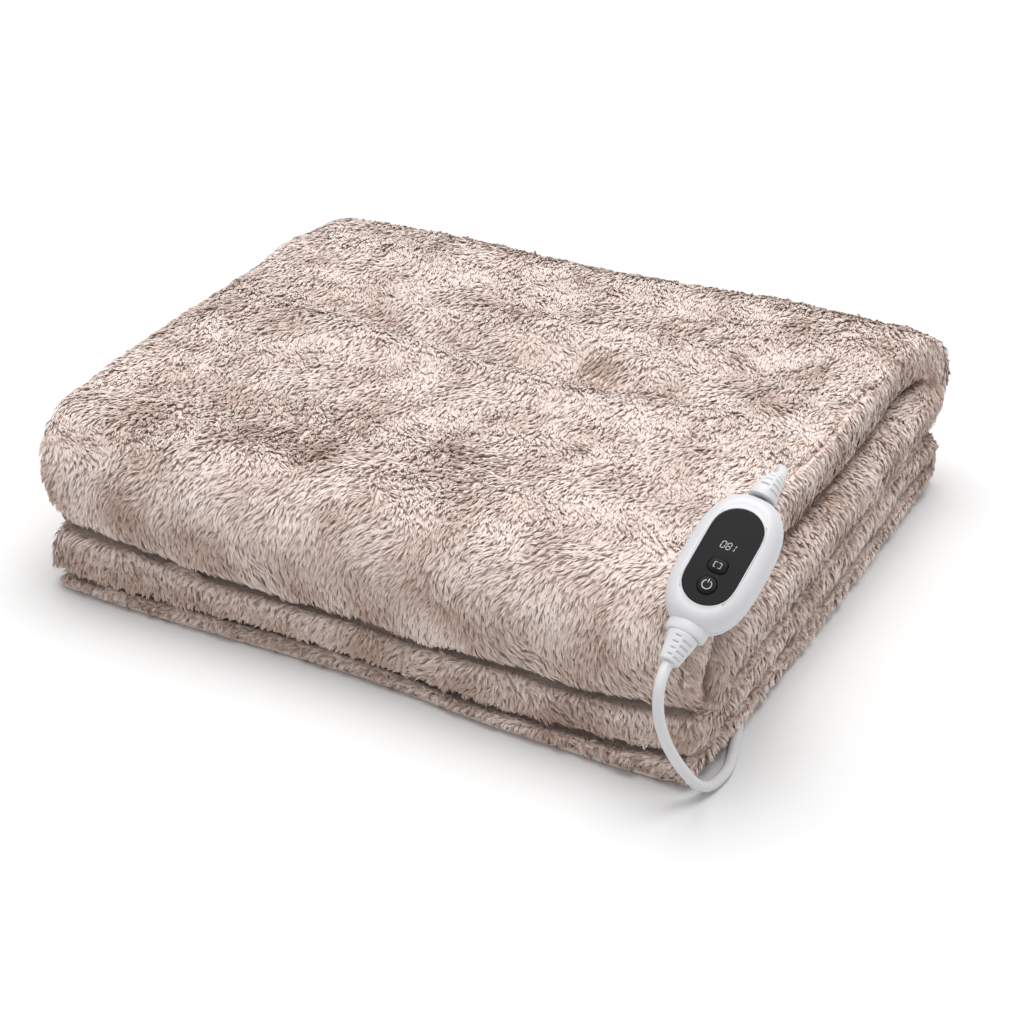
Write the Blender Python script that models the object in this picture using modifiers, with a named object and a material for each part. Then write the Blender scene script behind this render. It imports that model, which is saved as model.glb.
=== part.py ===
"""Electric heated blanket: a plush throw folded back and forth, its hand controller lying
on the front right shoulder, and the mains lead that runs under the cloth to a coil and plug.
Metres, +Z up. X runs along the front edge, Y from front to back."""

import math

import bmesh
import bpy
import numpy as np
from mathutils import Matrix, Vector

# ------------------------------------------------------------------ driving dimensions
# The stack is laid out in its own plan: front edge near y = -0.2135, right end near x = 0.2285.
# SHIFT moves that plan so that the origin stands under the middle of the whole object.
SHIFT = Vector((0.0150, 0.0006, 0.0))

GAP = 0.0018              # between two layers of cloth
BOTTOM_TOP = 0.0150       # mid height of the gap above the bottom layer
MIDDLE_TOP = 0.0405       # mid height of the gap above the second layer
THIRD_TOP = 0.0765        # mid height of the gap above the third layer
STACK_TOP = 0.1120        # height of the folded throw

FRONT_Y = -0.2135         # front face of the folds
LOWER_BACK_Y = 0.1800     # where the lower back fold begins to turn
UPPER_BACK_Y = 0.1840     # where the upper back fold begins to turn
FRONT_FOLD_Y = -0.1680    # end of the gap inside the hidden front fold
SHOULDER_Y = -0.1500      # where the top layer begins to roll over the front
SHOULDER_Z = 0.0620       # height at which the front flap hangs straight down
FLAP_THICK = 0.0240       # thickness of the hanging flap
END_ROUND = 0.0130        # how far in from each side the layers' ends are rounded

# Unevenness along the front, a row per place: x, lower edge of the flap, height of the line
# between the two lower layers at the front, front face moved by, crown added to the top,
# back fold moved by.
PLACES = (
    #  x       flap_low  line    front    crown    back
    (-0.2700, 0.0500, 0.0130, 0.0030, -0.0020, -0.0040),
    (-0.2000, 0.0455, 0.0125, -0.0010, 0.0000, 0.0010),
    (-0.1650, 0.0440, 0.0125, -0.0015, 0.0000, 0.0020),
    (-0.1300, 0.0400, 0.0130, -0.0010, 0.0005, 0.0010),
    (-0.0600, 0.0385, 0.0135, 0.0005, 0.0000, 0.0000),
    (0.0000, 0.0392, 0.0130, 0.0005, 0.0000, -0.0010),
    (0.0500, 0.0375, 0.0110, -0.0020, 0.0010, 0.0010),
    (0.1000, 0.0410, 0.0118, -0.0045, 0.0028, 0.0020),
    (0.1400, 0.0395, 0.0128, -0.0050, 0.0038, 0.0025),
    (0.1900, 0.0430, 0.0155, -0.0070, 0.0032, 0.0000),
    (0.2300, 0.0470, 0.0190, -0.0060, 0.0015, -0.0028),
)

# Main creases and dents of the top, a row per crease: from x, y to x, y, half width, height.
CREASES = (
    ("long_ridge", -0.165, 0.020, 0.075, -0.005, 0.013, 0.0030),
    ("long_trough", -0.150, 0.048, 0.080, 0.022, 0.014, -0.0030),
    ("upper_ridge", 0.000, 0.085, 0.120, 0.045, 0.012, 0.0026),
    ("middle_dent", 0.020, 0.040, 0.090, 0.030, 0.016, -0.0022),
    ("back_dent", 0.085, 0.150, 0.120, 0.080, 0.018, -0.0026),
    ("right_dent", 0.165, 0.110, 0.150, 0.030, 0.020, -0.0030),
    ("right_swell", 0.185, 0.060, 0.180, -0.060, 0.018, 0.0020),
    ("front_left_dent", -0.180, -0.100, -0.060, -0.130, 0.026, -0.0030),
    ("back_left_swell", -0.230, 0.130, -0.120, 0.150, 0.030, 0.0025),
)

# Ends of the layers to the left and right, a row per layer.
ENDS = {
    #            left      right
    "bottom": (-0.2370, 0.2290),
    "second": (-0.2310, 0.2282),
    "third": (-0.2440, 0.2284),
    "top": (-0.2400, 0.2150),
    "flap": (-0.2400, 0.2235),
}
TOP_FLARE = 0.0400        # how much further left the top layer reaches at the back
DROOP_FROM = -0.2440      # left of this the top layer sinks over the layers below
DROOP = 0.0100            # by this much 30 mm further out

# Hand controller. Its own frame: x across, y along towards the throw's lead, z out of the panel.
PANEL_AT = (0.2201, -0.1820, 0.1315)
CONTROLLER_YAW, CONTROLLER_TILT, CONTROLLER_ROLL = -8.0, 32.5, 10.8
BODY_W, BODY_L, BODY_T = 0.0495, 0.0870, 0.0200
BODY_EDGE = 0.0090        # radius of the housing's rounded edge
OVAL = 2.8                # exponent of the housing's outline
NECK_W, NECK_T, NECK_OUT = 0.0240, 0.0150, 0.0042
UPPER_NECK_W, UPPER_NECK_OUT = 0.0176, 0.0006
PANEL_W, PANEL_L, PANEL_T = 0.0300, 0.0615, 0.0015
CLEAR = 0.0003            # between one piece and the next
NEST = 0.0006             # between the housing and the cloth that it presses
BUTTON_PROUD, BUTTON_DEEP, BUTTON_TRAVEL = 0.0010, 0.0034, 0.0007
BUTTONS = (
    # name           y        half width, half height, exponent of its outline
    ("power_button", -0.0190, 0.00565, 0.00565, 2.0),
    ("level_button", -0.0062, 0.00560, 0.00445, 3.2),
)
RELIEF_L, RELIEF_BASE, RELIEF_TIP = 0.0168, 0.0090, 0.0058
# Bent sleeve at the upper end, in the controller's frame: x, y, z, radius.
UPPER_SLEEVE = (
    (0.0000, 0.0444, -0.0100, 0.0086),
    (0.0000, 0.0474, -0.0100, 0.0082),
    (0.0000, 0.0524, -0.0108, 0.0072),
    (0.0000, 0.0574, -0.0130, 0.0062),
    (0.0000, 0.0618, -0.0165, 0.0052),
)

# Cord. Route points in the plan, from the lower sleeve to the coil.
CORD_R = 0.00325
CORD_Z = 0.0034           # height of the cord's centre on the floor
CORD_ROUTE = (
    (0.2116, -0.2418, 0.0808),
    (0.2128, -0.2463, 0.0715),
    (0.2143, -0.2463, 0.0599),
    (0.2170, -0.2430, 0.0458),
    (0.2208, -0.2392, 0.0340),
    (0.2252, -0.2340, 0.0225),
    (0.2293, -0.2270, 0.0115),
    (0.2328, -0.2180, 0.0050),
    (0.2345, -0.2080, CORD_Z),
    (0.2352, -0.1970, CORD_Z),
    (0.2330, -0.1850, CORD_Z),
    (0.2288, -0.1700, CORD_Z),
    (0.2180, -0.1350, CORD_Z),
    (0.1980, -0.0820, CORD_Z),
    (0.1700, -0.0080, CORD_Z),
    (0.1450, 0.0650, CORD_Z),
    (0.1250, 0.1300, CORD_Z),
    (0.1090, 0.1880, CORD_Z),
    (0.0985, 0.2172, CORD_Z),
)
TUNNEL_FROM, TUNNEL_TO = 9, 18   # rows of the route between which the cloth is raised over it
TUNNEL_W, TUNNEL_H = 0.0108, 0.0086
COIL_AT = (0.0600, 0.2750)
COIL_R, COIL_W, COIL_H = 0.0360, 0.0210, 0.0150
COIL_MEET = (0.5547, -0.8321)    # direction from the coil's centre to where the cord joins it
COIL_LEAVE = 120.0               # angle round the coil at which the cord leaves it for the plug
TURN_R = 0.0429                  # centre of the outermost turn
LEAVE_RUN = 0.0252               # straight run from there to the plug's tail
# Lead of the throw, from the upper sleeve down into the cloth beside the side hem.
LEAD_ROUTE = (
    (0.2235, -0.1080, 0.1488),
    (0.2175, -0.0930, 0.1420),
    (0.2105, -0.0780, 0.1310),
    (0.2040, -0.0650, 0.1195),
    (0.1985, -0.0530, 0.1090),
    (0.1945, -0.0440, 0.1000),
)
LEAD_HOLE_FROM = 3
LEAD_HOLE_R = 0.0045

# Plug: two round pins on a flat body that tapers to the cord.
PLUG_T = 0.0137
PLUG_EDGE = 0.0030
PLUG_OUTLINE = ((0.0150, 0.0040), (0.0230, 0.0100), (0.0420, 0.0146), (0.0490, 0.0146))
PLUG_TAIL_L, PLUG_TAIL_R0, PLUG_TAIL_R1 = 0.0200, 0.0046, 0.0058
PIN_R, PIN_L, PIN_APART, PIN_HOLE = 0.0020, 0.0190, 0.0186, 0.0030


def place(x, column):
    rows = np.array(PLACES)
    k = ("x", "flap_low", "line", "front", "crown", "back").index(column)
    return float(np.interp(x, rows[:, 0], rows[:, k]))


def smooth(t):
    t = min(max(t, 0.0), 1.0)
    return t * t * (3 - 2 * t)


def mix(a, b, t):
    return a + (b - a) * t


def crease_height(x, y):
    total = 0.0
    for _, x0, y0, x1, y1, width, height in CREASES:
        dx, dy = x1 - x0, y1 - y0
        t = min(max(((x - x0) * dx + (y - y0) * dy) / (dx * dx + dy * dy), 0.0), 1.0)
        d = math.hypot(x - x0 - t * dx, y - y0 - t * dy)
        total += height * math.exp(-((d / width) ** 2))
    return total


def gap_one(x, y):
    front = smooth((-0.10 - y) / 0.10)
    level = BOTTOM_TOP + 0.0010 * math.sin(17 * x + 9 * y) + 0.0040 * smooth((y - 0.05) / 0.12)
    return mix(level, place(x, "line"), front)


def gap_two(x, y):
    return MIDDLE_TOP + 0.0012 * math.sin(13 * x - 11 * y + 1.0) + 0.0025 * smooth((y + 0.05) / 0.2)


def gap_three(x, y):
    return THIRD_TOP + 0.0012 * math.sin(11 * x + 14 * y + 2.0)


def droop(x):
    out = max(DROOP_FROM - x, 0.0) / 0.030
    return -DROOP * out * out


def top_face(x, y):
    side = 0.0022 * math.exp(-(((x - 0.2110) / 0.008) ** 2))
    return STACK_TOP + place(x, "crown") + crease_height(x, y) + side


def section(x, steps=1):
    """The folded cloth cut across X: pairs of points (y, z) on its two faces, in order from
    the front hem of the bottom layer to the hem of the front flap. Each pair is
    (layer, face a, face b); steps multiplies the number of pairs in the runs."""
    h = GAP / 2
    front = FRONT_Y + place(x, "front")
    low = place(x, "flap_low")
    line = gap_one(x, front)
    lower_back = LOWER_BACK_Y + place(x, "back")
    upper_back = UPPER_BACK_Y + place(x, "back")
    pairs = []

    def run(layer, y0, y1, n, face_a, face_b):
        for i in range(n * steps + 1):
            y = mix(y0, y1, i / (n * steps))
            pairs.append((layer, (y, face_a(x, y)), (y, face_b(x, y))))

    def turn(layers, y, z, a0, a1, n, reach_a, reach_b):
        for i in range(1, n * steps):
            t = i / (n * steps)
            angle = math.radians(mix(a0, a1, t))
            c, s = math.cos(angle), math.sin(angle)
            ra, rb = mix(*reach_a, t), mix(*reach_b, t)
            name = layers[0] if t < 0.5 else layers[1]
            pairs.append((name, (y + ra * c, z + ra * s), (y + rb * c, z + rb * s)))

    # bottom layer, with its rounded front hem
    hem = front + 0.0005 - 0.0032 * smooth((x - 0.020) / 0.100)
    for d, f in ((0.0, 0.25), (0.0015, 0.62), (0.0050, 0.90)):
        mid = (line - h) / 2
        pairs.append(("bottom", (hem + d, mid - mid * f), (hem + d, mid + mid * f)))
    run("bottom", hem + 0.012, lower_back, 5, lambda x, y: 0.0, lambda x, y: gap_one(x, y) - h)
    z1, z2 = gap_one(x, lower_back), gap_two(x, lower_back)
    turn(("bottom", "second"), lower_back, z1, -90, 90, 6, (z1, z2 - h - z1), (h, h))
    # second layer, back to front
    run("second", lower_back, FRONT_FOLD_Y, 5,
        lambda x, y: gap_two(x, y) - h, lambda x, y: gap_one(x, y) + h)
    # hidden front fold, whose belly shows under the flap: a row per point of its outer face
    inner_y, inner_z = FRONT_FOLD_Y, gap_two(x, FRONT_FOLD_Y)
    third_low = gap_three(x, FRONT_FOLD_Y) - h
    back_of_flap = front + FLAP_THICK + 0.0022
    fold = (
        (front + 0.0285, line + h),
        (front + 0.0110, line + h + 0.0004),
        (front + 0.0022, line + h + 0.0050),
        (front + 0.0000, mix(line, low, 0.52)),
        (front + 0.0030, low - 0.0052),
        (front + 0.0110, low - 0.0024),
        (back_of_flap - 0.0010, low - 0.0010),
        (back_of_flap + 0.0012, low + 0.0100),
        (back_of_flap + 0.0030, third_low - 0.0140),
        (back_of_flap + 0.0105, third_low - 0.0035),
        (back_of_flap + 0.0190, third_low),
    )
    for i, outer in enumerate(fold):
        angle = math.radians(-90 - 180 * (i + 1) / (len(fold) + 1))
        inner = (inner_y + h * math.cos(angle), inner_z + h * math.sin(angle))
        pairs.append(("second" if i < 6 else "third", inner, outer))
    # third layer, front to back
    run("third", FRONT_FOLD_Y + 0.0085, upper_back, 5,
        lambda x, y: gap_two(x, y) + h, lambda x, y: gap_three(x, y) - h)
    z2, z3, z4 = gap_two(x, upper_back), gap_three(x, upper_back), top_face(x, upper_back)
    turn(("third", "top"), upper_back, z3, -90, 90, 8, (z3 - h - z2, z4 - z3), (h, h))
    # top layer, back to front
    run("top", upper_back, SHOULDER_Y, 12,
        lambda x, y: top_face(x, y), lambda x, y: gap_three(x, y) + h)
    # shoulder: the top layer rolls over the front
    top, under = top_face(x, SHOULDER_Y), gap_three(x, SHOULDER_Y) + h
    for i in range(1, 7 * steps):
        a = math.radians(90 * i / (7 * steps))
        outer = (SHOULDER_Y - (SHOULDER_Y - front) * math.sin(a) ** 0.92,
                 SHOULDER_Z + (top - SHOULDER_Z) * math.cos(a) ** 0.92)
        inner = (SHOULDER_Y - (SHOULDER_Y - front - FLAP_THICK) * math.sin(a) ** 0.62,
                 SHOULDER_Z + (under - SHOULDER_Z) * math.cos(a) ** 0.62)
        pairs.append(("top" if i < 4 * steps else "flap", outer, inner))
    # flap and its rounded lower hem
    for d, inset, lift in ((SHOULDER_Z - low, 0.0, 0.0), (0.0110, 0.0010, 0.0),
                           (0.0045, 0.0035, 0.0), (0.0014, 0.0068, 0.0)):
        outer = (front + inset, low + d)
        inner = (front + FLAP_THICK - inset, low + d + lift)
        pairs.append(("flap", outer, inner))
    return pairs


def ends_of(layer, y, z):
    left, right = ENDS[layer]
    if layer == "top":
        left -= TOP_FLARE * (1 - math.exp(min(FRONT_Y - y, 0.0) / 0.12))
        left += 0.012 * smooth((y - 0.165) / 0.05)
        right -= 0.008 * smooth((y - 0.110) / 0.045)
        right += 0.019 * smooth((y - 0.168) / 0.022)
        right += 0.006 * smooth((-0.090 - y) / 0.060)
    if layer in ("bottom", "second"):
        right -= 0.006 * smooth((-0.200 - y) / 0.014)
        left += 0.005 * smooth((-0.195 - y) / 0.020)
        left -= 0.012 * smooth((y + 0.1) / 0.3)
    if layer == "bottom":
        left += 0.010 * smooth((-0.140 - y) / 0.050)
    if layer == "second":
        left -= 0.011 * smooth((-0.140 - y) / 0.050)
        left += 0.020 * smooth((z - 0.018) / 0.0225) * smooth((-0.120 - y) / 0.050)
    if layer == "third":
        left += 0.009 * smooth((-0.140 - y) / 0.050)
        left += 0.022 * smooth((-0.150 - y) / 0.040)
    if layer == "flap":
        left += 0.023 * smooth((0.082 - z) / 0.040)
        right -= 0.003 * smooth((0.056 - z) / 0.012)
    return left, right


def blend_ends(pairs):
    """Left and right end of each pair, evened along the cloth so that no two layers step."""
    raw = np.array([ends_of(name, (a[0] + b[0]) / 2, (a[1] + b[1]) / 2) for name, a, b in pairs])
    for _ in range(6):
        padded = np.vstack([raw[:1], raw, raw[-1:]])
        raw = 0.25 * padded[:-2] + 0.5 * padded[1:-1] + 0.25 * padded[2:]
    return raw


END_STEPS = ((0.0, 0.30), (0.07, 0.54), (0.24, 0.78), (0.55, 0.94), (1.0, 1.0))
MIDDLE_STATIONS = 17


def stations():
    """(share of the width, distance in from the left, from the right, thickness share)."""
    rows = [(0.0, d * END_ROUND, 0.0, f) for d, f in END_STEPS]
    rows += [((i + 1) / (MIDDLE_STATIONS + 1), None, None, 1.0) for i in range(MIDDLE_STATIONS)]
    rows += [(1.0, 0.0, d * END_ROUND, f) for d, f in reversed(END_STEPS)]
    return rows


def cloth_rings():
    rings = []
    for share, from_left, from_right, thick in stations():
        nominal = mix(ENDS["second"][0], ENDS["second"][1], share)
        pairs = section(nominal)
        ends = blend_ends(pairs)
        ring_a, ring_b = [], []
        for (name, a, b), (left, right) in zip(pairs, ends):
            lo, hi = left + END_ROUND, right - END_ROUND
            if from_left is None:
                x = mix(lo, hi, share)
            elif share == 0.0:
                x = left + from_left
            else:
                x = right - from_right
            a, b = np.array(a), np.array(b)
            mid = (a + b) / 2
            a, b = mid + (a - mid) * thick, mid + (b - mid) * thick
            sink = droop(x)
            ring_a.append((x, a[0], a[1] + sink))
            ring_b.append((x, b[0], b[1] + sink))
        rings.append((ring_a, ring_b))
    return rings


def blanket_mesh(name):
    rings = cloth_rings()
    count = len(rings[0][0])
    bm = bmesh.new()
    grid = []
    for ring_a, ring_b in rings:
        loop = [bm.verts.new(p) for p in ring_a] + [bm.verts.new(p) for p in reversed(ring_b)]
        grid.append(loop)
    size = 2 * count
    for one, two in zip(grid, grid[1:]):
        for i in range(size):
            j = (i + 1) % size
            bm.faces.new((one[i], one[j], two[j], two[i]))
    for loop, flip in ((grid[0], True), (grid[-1], False)):
        for i in range(count - 1):
            quad = (loop[i], loop[i + 1], loop[size - 2 - i], loop[size - 1 - i])
            bm.faces.new(quad if not flip else tuple(reversed(quad)))
    bmesh.ops.recalc_face_normals(bm, faces=bm.faces)
    bmesh.ops.translate(bm, verts=bm.verts, vec=SHIFT)
    mesh = bpy.data.meshes.new(name)
    bm.to_mesh(mesh)
    bm.free()
    mesh.shade_smooth()
    return mesh


# ------------------------------------------------------------------ scene helpers
def clear_scene():
    for obj in list(bpy.data.objects):
        bpy.data.objects.remove(obj, do_unlink=True)


def material(name, colour, roughness, metallic=0.0):
    mat = bpy.data.materials.new(name)
    mat.use_nodes = True
    node = mat.node_tree.nodes["Principled BSDF"]
    node.inputs["Base Color"].default_value = (*colour, 1.0)
    node.inputs["Roughness"].default_value = roughness
    node.inputs["Metallic"].default_value = metallic
    mat.diffuse_color = (*colour, 1.0)
    return mat


def link(name, mesh, mat=None, matrix=None, cutter=False):
    obj = bpy.data.objects.new(name, mesh)
    (CUTTERS if cutter else PARTS).objects.link(obj)
    if mat is not None:
        mesh.materials.append(mat)
    if matrix is not None:
        obj.matrix_world = matrix
    if cutter:
        obj.display_type = "WIRE"
        obj.hide_render = True
    return obj


def as_mesh(obj, name):
    """The evaluated shape of an object as a plain closed mesh in its own space."""
    bpy.context.view_layer.update()
    graph = bpy.context.evaluated_depsgraph_get()
    mesh = bpy.data.meshes.new_from_object(obj.evaluated_get(graph))
    mesh.name = name
    mesh.materials.clear()
    bm = bmesh.new()
    bm.from_mesh(mesh)
    bmesh.ops.remove_doubles(bm, verts=bm.verts, dist=1e-6)
    bmesh.ops.dissolve_degenerate(bm, edges=bm.edges, dist=1e-7)
    bmesh.ops.recalc_face_normals(bm, faces=bm.faces)
    bm.to_mesh(mesh)
    bm.free()
    mesh.shade_smooth()
    bpy.data.objects.remove(obj, do_unlink=True)
    return mesh


def flat_outline(name, points, half, edge):
    """A filled outline with rounded edges: half its thickness, radius of the edge. The widest
    line lies edge outside the points."""
    curve = bpy.data.curves.new(name, "CURVE")
    curve.dimensions = "2D"
    curve.fill_mode = "BOTH"
    curve.extrude = half - edge
    curve.bevel_depth = edge
    curve.bevel_resolution = 4
    spline = curve.splines.new("POLY")
    spline.points.add(len(points) - 1)
    for point, (x, y) in zip(spline.points, points):
        point.co = (x, y, 0.0, 1.0)
    spline.use_cyclic_u = True
    obj = bpy.data.objects.new(name, curve)
    PARTS.objects.link(obj)
    return as_mesh(obj, name)


def oval(a, b, exponent, count=44):
    out = []
    for i in range(count):
        t = 2 * math.pi * (i + 0.5) / count
        c, s = math.cos(t), math.sin(t)
        out.append((a * math.copysign(abs(c) ** (2 / exponent), c),
                    b * math.copysign(abs(s) ** (2 / exponent), s)))
    return out


def slot_shape(width, length, count=14):
    r, straight = width / 2, (length - width) / 2
    out = []
    for side, start in ((1, 0.0), (-1, math.pi)):
        for i in range(count + 1):
            t = start + math.pi * i / count
            out.append((r * math.cos(t), side * straight + r * math.sin(t)))
    return out


def prism(name, points, z0, z1):
    bm = bmesh.new()
    low = [bm.verts.new((x, y, z0)) for x, y in points]
    high = [bm.verts.new((x, y, z1)) for x, y in points]
    bm.faces.new(list(reversed(low)))
    bm.faces.new(high)
    for i in range(len(points)):
        j = (i + 1) % len(points)
        bm.faces.new((low[i], low[j], high[j], high[i]))
    bmesh.ops.recalc_face_normals(bm, faces=bm.faces)
    mesh = bpy.data.meshes.new(name)
    bm.to_mesh(mesh)
    bm.free()
    return mesh


def circle(r, y=0.0, count=28, squash=1.0):
    return [(r * math.cos(2 * math.pi * i / count), y + squash * r * math.sin(2 * math.pi * i / count))
            for i in range(count)]


def turned(name, profile, steps=28):
    """A profile of (radius, z), listed from the top down, turned about Z."""
    mesh = bpy.data.meshes.new(name)
    mesh.from_pydata([(r, 0.0, z) for r, z in profile],
                     [(i, i + 1) for i in range(len(profile) - 1)], [])
    obj = bpy.data.objects.new(name, mesh)
    PARTS.objects.link(obj)
    screw = obj.modifiers.new("turn", "SCREW")
    screw.steps = screw.render_steps = steps
    screw.use_merge_vertices = True
    screw.merge_threshold = 0.0001
    return as_mesh(obj, name)


def smooth_route(points, spacing):
    """Even points on a smooth curve through the route points."""
    pts = [Vector(p) for p in points]
    pts = [2 * pts[0] - pts[1]] + pts + [2 * pts[-1] - pts[-2]]
    fine = []
    for i in range(1, len(pts) - 2):
        p0, p1, p2, p3 = pts[i - 1:i + 3]
        for k in range(24):
            t = k / 24
            fine.append(0.5 * (2 * p1 + (p2 - p0) * t + (2 * p0 - 5 * p1 + 4 * p2 - p3) * t * t
                               + (3 * p1 - p0 - 3 * p2 + p3) * t ** 3))
    fine.append(pts[-2])
    far = [0.0]
    for a, b in zip(fine, fine[1:]):
        far.append(far[-1] + (b - a).length)
    count = max(2, round(far[-1] / spacing))
    out = []
    for k in range(count + 1):
        goal = far[-1] * k / count
        i = min(max(int(np.searchsorted(far, goal)), 1), len(fine) - 1)
        t = (goal - far[i - 1]) / max(far[i] - far[i - 1], 1e-9)
        out.append(fine[i - 1].lerp(fine[i], t))
    return out, far[-1]


def tube(name, points, radii, resolution=3):
    """A round closed tube through the points, with a radius at each."""
    curve = bpy.data.curves.new(name, "CURVE")
    curve.dimensions = "3D"
    curve.bevel_depth = 1.0
    curve.bevel_resolution = resolution
    curve.use_fill_caps = True
    spline = curve.splines.new("POLY")
    spline.points.add(len(points) - 1)
    for point, at, r in zip(spline.points, points, radii):
        point.co = (*at, 1.0)
        point.radius = r
    obj = bpy.data.objects.new(name, curve)
    PARTS.objects.link(obj)
    return as_mesh(obj, name)


def key_mesh(name, outline):
    """A push button with a gently domed top, from its outline."""
    rows = ((1.0, -BUTTON_DEEP), (1.0, BUTTON_PROUD * 0.35), (0.90, BUTTON_PROUD * 0.82),
            (0.55, BUTTON_PROUD))
    bm = bmesh.new()
    rings = [[bm.verts.new((x * share, y * share, z)) for x, y in outline] for share, z in rows]
    count = len(outline)
    for lower, upper in zip(rings, rings[1:]):
        for j in range(count):
            k = (j + 1) % count
            bm.faces.new((lower[j], lower[k], upper[k], upper[j]))
    bm.faces.new(list(reversed(rings[0])))
    bm.faces.new(rings[-1])
    bmesh.ops.recalc_face_normals(bm, faces=bm.faces)
    mesh = bpy.data.meshes.new(name)
    bm.to_mesh(mesh)
    bm.free()
    return mesh


def boolean(obj, other, operation):
    modifier = obj.modifiers.new(operation.lower() + "_" + other.name, "BOOLEAN")
    modifier.operation = operation
    modifier.solver = "EXACT"
    modifier.object = other


def at(point):
    return Vector(point) + SHIFT


clear_scene()
PARTS = bpy.data.collections.new("electric_heated_blanket")
CUTTERS = bpy.data.collections.new("cutters")
bpy.context.scene.collection.children.link(PARTS)
bpy.context.scene.collection.children.link(CUTTERS)
CUTTERS.hide_render = True

plush = material("plush", (0.47, 0.37, 0.32), 0.95)
white_shell = material("white_shell", (0.84, 0.84, 0.86), 0.35)
black_panel = material("black_panel", (0.012, 0.012, 0.014), 0.20)
black_key = material("black_key", (0.016, 0.016, 0.018), 0.35)
white_sleeve = material("white_sleeve", (0.82, 0.82, 0.84), 0.5)
white_cord = material("white_cord", (0.83, 0.83, 0.85), 0.45)
pin_metal = material("pin_metal", (0.75, 0.75, 0.76), 0.25, 1.0)

# ------------------------------------------------------------------ hand controller
HELD = (Matrix.Translation(at(PANEL_AT))
        @ Matrix.Rotation(math.radians(CONTROLLER_YAW), 4, "Z")
        @ Matrix.Rotation(math.radians(CONTROLLER_TILT), 4, "X")
        @ Matrix.Rotation(math.radians(CONTROLLER_ROLL), 4, "Y"))
MIDDLE = Matrix.Translation((0.0, 0.0, -BODY_T / 2))
flat = oval(BODY_W / 2 - BODY_EDGE, BODY_L / 2 - BODY_EDGE, OVAL)
controller_body = link("controller_body",
                       flat_outline("controller_body", flat, BODY_T / 2, BODY_EDGE),
                       white_shell, HELD @ MIDDLE)
for name, width, turn, out in (("lower_neck", NECK_W, 90, NECK_OUT),
                               ("upper_neck", UPPER_NECK_W, -90, UPPER_NECK_OUT)):
    neck = link(name, prism(name, circle(width / 2, 0.0, 28, NECK_T / width), BODY_L * 0.36,
                            BODY_L / 2 + out),
                None, HELD @ MIDDLE @ Matrix.Rotation(math.radians(turn), 4, "X"), cutter=True)
    boolean(controller_body, neck, "UNION")
recess = link("panel_recess",
              prism("panel_recess", slot_shape(PANEL_W + 2 * CLEAR, PANEL_L + 2 * CLEAR),
                    -PANEL_T - CLEAR, 0.0040), None, HELD, cutter=True)
boolean(controller_body, recess, "DIFFERENCE")
control_panel = link("control_panel",
                     prism("control_panel", slot_shape(PANEL_W, PANEL_L), -PANEL_T, 0.0),
                     black_panel, HELD)
for key, along, wide, high, exponent in BUTTONS:
    spot = HELD @ Matrix.Translation((0.0, along, 0.0))
    hole = link(key + "_hole",
                prism(key + "_hole", oval(wide + CLEAR, high + CLEAR, exponent, 28), -0.0062, 0.0040),
                None, spot, cutter=True)
    boolean(control_panel, hole, "DIFFERENCE")
    boolean(controller_body, hole, "DIFFERENCE")
    link(key, key_mesh(key, oval(wide, high, exponent, 28)), black_key, spot)

# sleeves over the cord at both ends, the lower one straight
half_axis = BODY_L / 2 + NECK_OUT + CLEAR
sleeve = turned("relief_lower", (
    (0.0, 0.0), (RELIEF_TIP - 0.0006, 0.0), (RELIEF_TIP, -0.0006), (RELIEF_BASE, -RELIEF_L),
    (0.0, -RELIEF_L)))
relief_lower = link("relief_lower", sleeve, white_sleeve,
                    HELD @ MIDDLE @ Matrix.Translation((0.0, -half_axis - RELIEF_L, 0.0))
                    @ Matrix.Rotation(math.radians(90), 4, "X"))
relief_lower.matrix_world = relief_lower.matrix_world @ Matrix.Diagonal((1.0, 0.9, 1.0, 1.0))
sleeve_points = [(x, y, z) for x, y, z, _ in UPPER_SLEEVE]
relief_upper = link("relief_upper",
                    tube("relief_upper", sleeve_points, [row[3] for row in UPPER_SLEEVE], 6),
                    white_sleeve, HELD)

# ------------------------------------------------------------------ cord, coil and plug
tip = HELD @ Vector((0.0, -half_axis - RELIEF_L - CLEAR, -BODY_T / 2))
away = (HELD.to_3x3() @ Vector((0.0, -1.0, 0.0)))
outward = Vector((COIL_MEET[0], COIL_MEET[1], 0.0))
meet = at((COIL_AT[0], COIL_AT[1], CORD_Z)) + (COIL_R + COIL_W / 2 + CLEAR + 0.0002) * outward
route = [tip + 0.0040 * away] + [at(p) for p in CORD_ROUTE] + [meet + 0.0080 * outward]
run_points, run_length = smooth_route(route, 0.0095)
run_points = [tip] + run_points + [meet]
cord_run = link("cord_run", tube("cord_run", run_points, [CORD_R] * len(run_points)), white_cord)

outer, inner = COIL_R + COIL_W / 2, COIL_R - COIL_W / 2
ring = turned("cord_coil", (
    (inner, COIL_H * 0.72), (inner + 0.0030, COIL_H), (outer - 0.0030, COIL_H), (outer, COIL_H * 0.72),
    (outer, COIL_H * 0.24), (outer - 0.0030, 0.0), (inner + 0.0030, 0.0), (inner, COIL_H * 0.24),
    (inner, COIL_H * 0.72)), 36)
cord_coil = link("cord_coil", ring, white_cord, Matrix.Translation(at((*COIL_AT, 0.0))))

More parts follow.
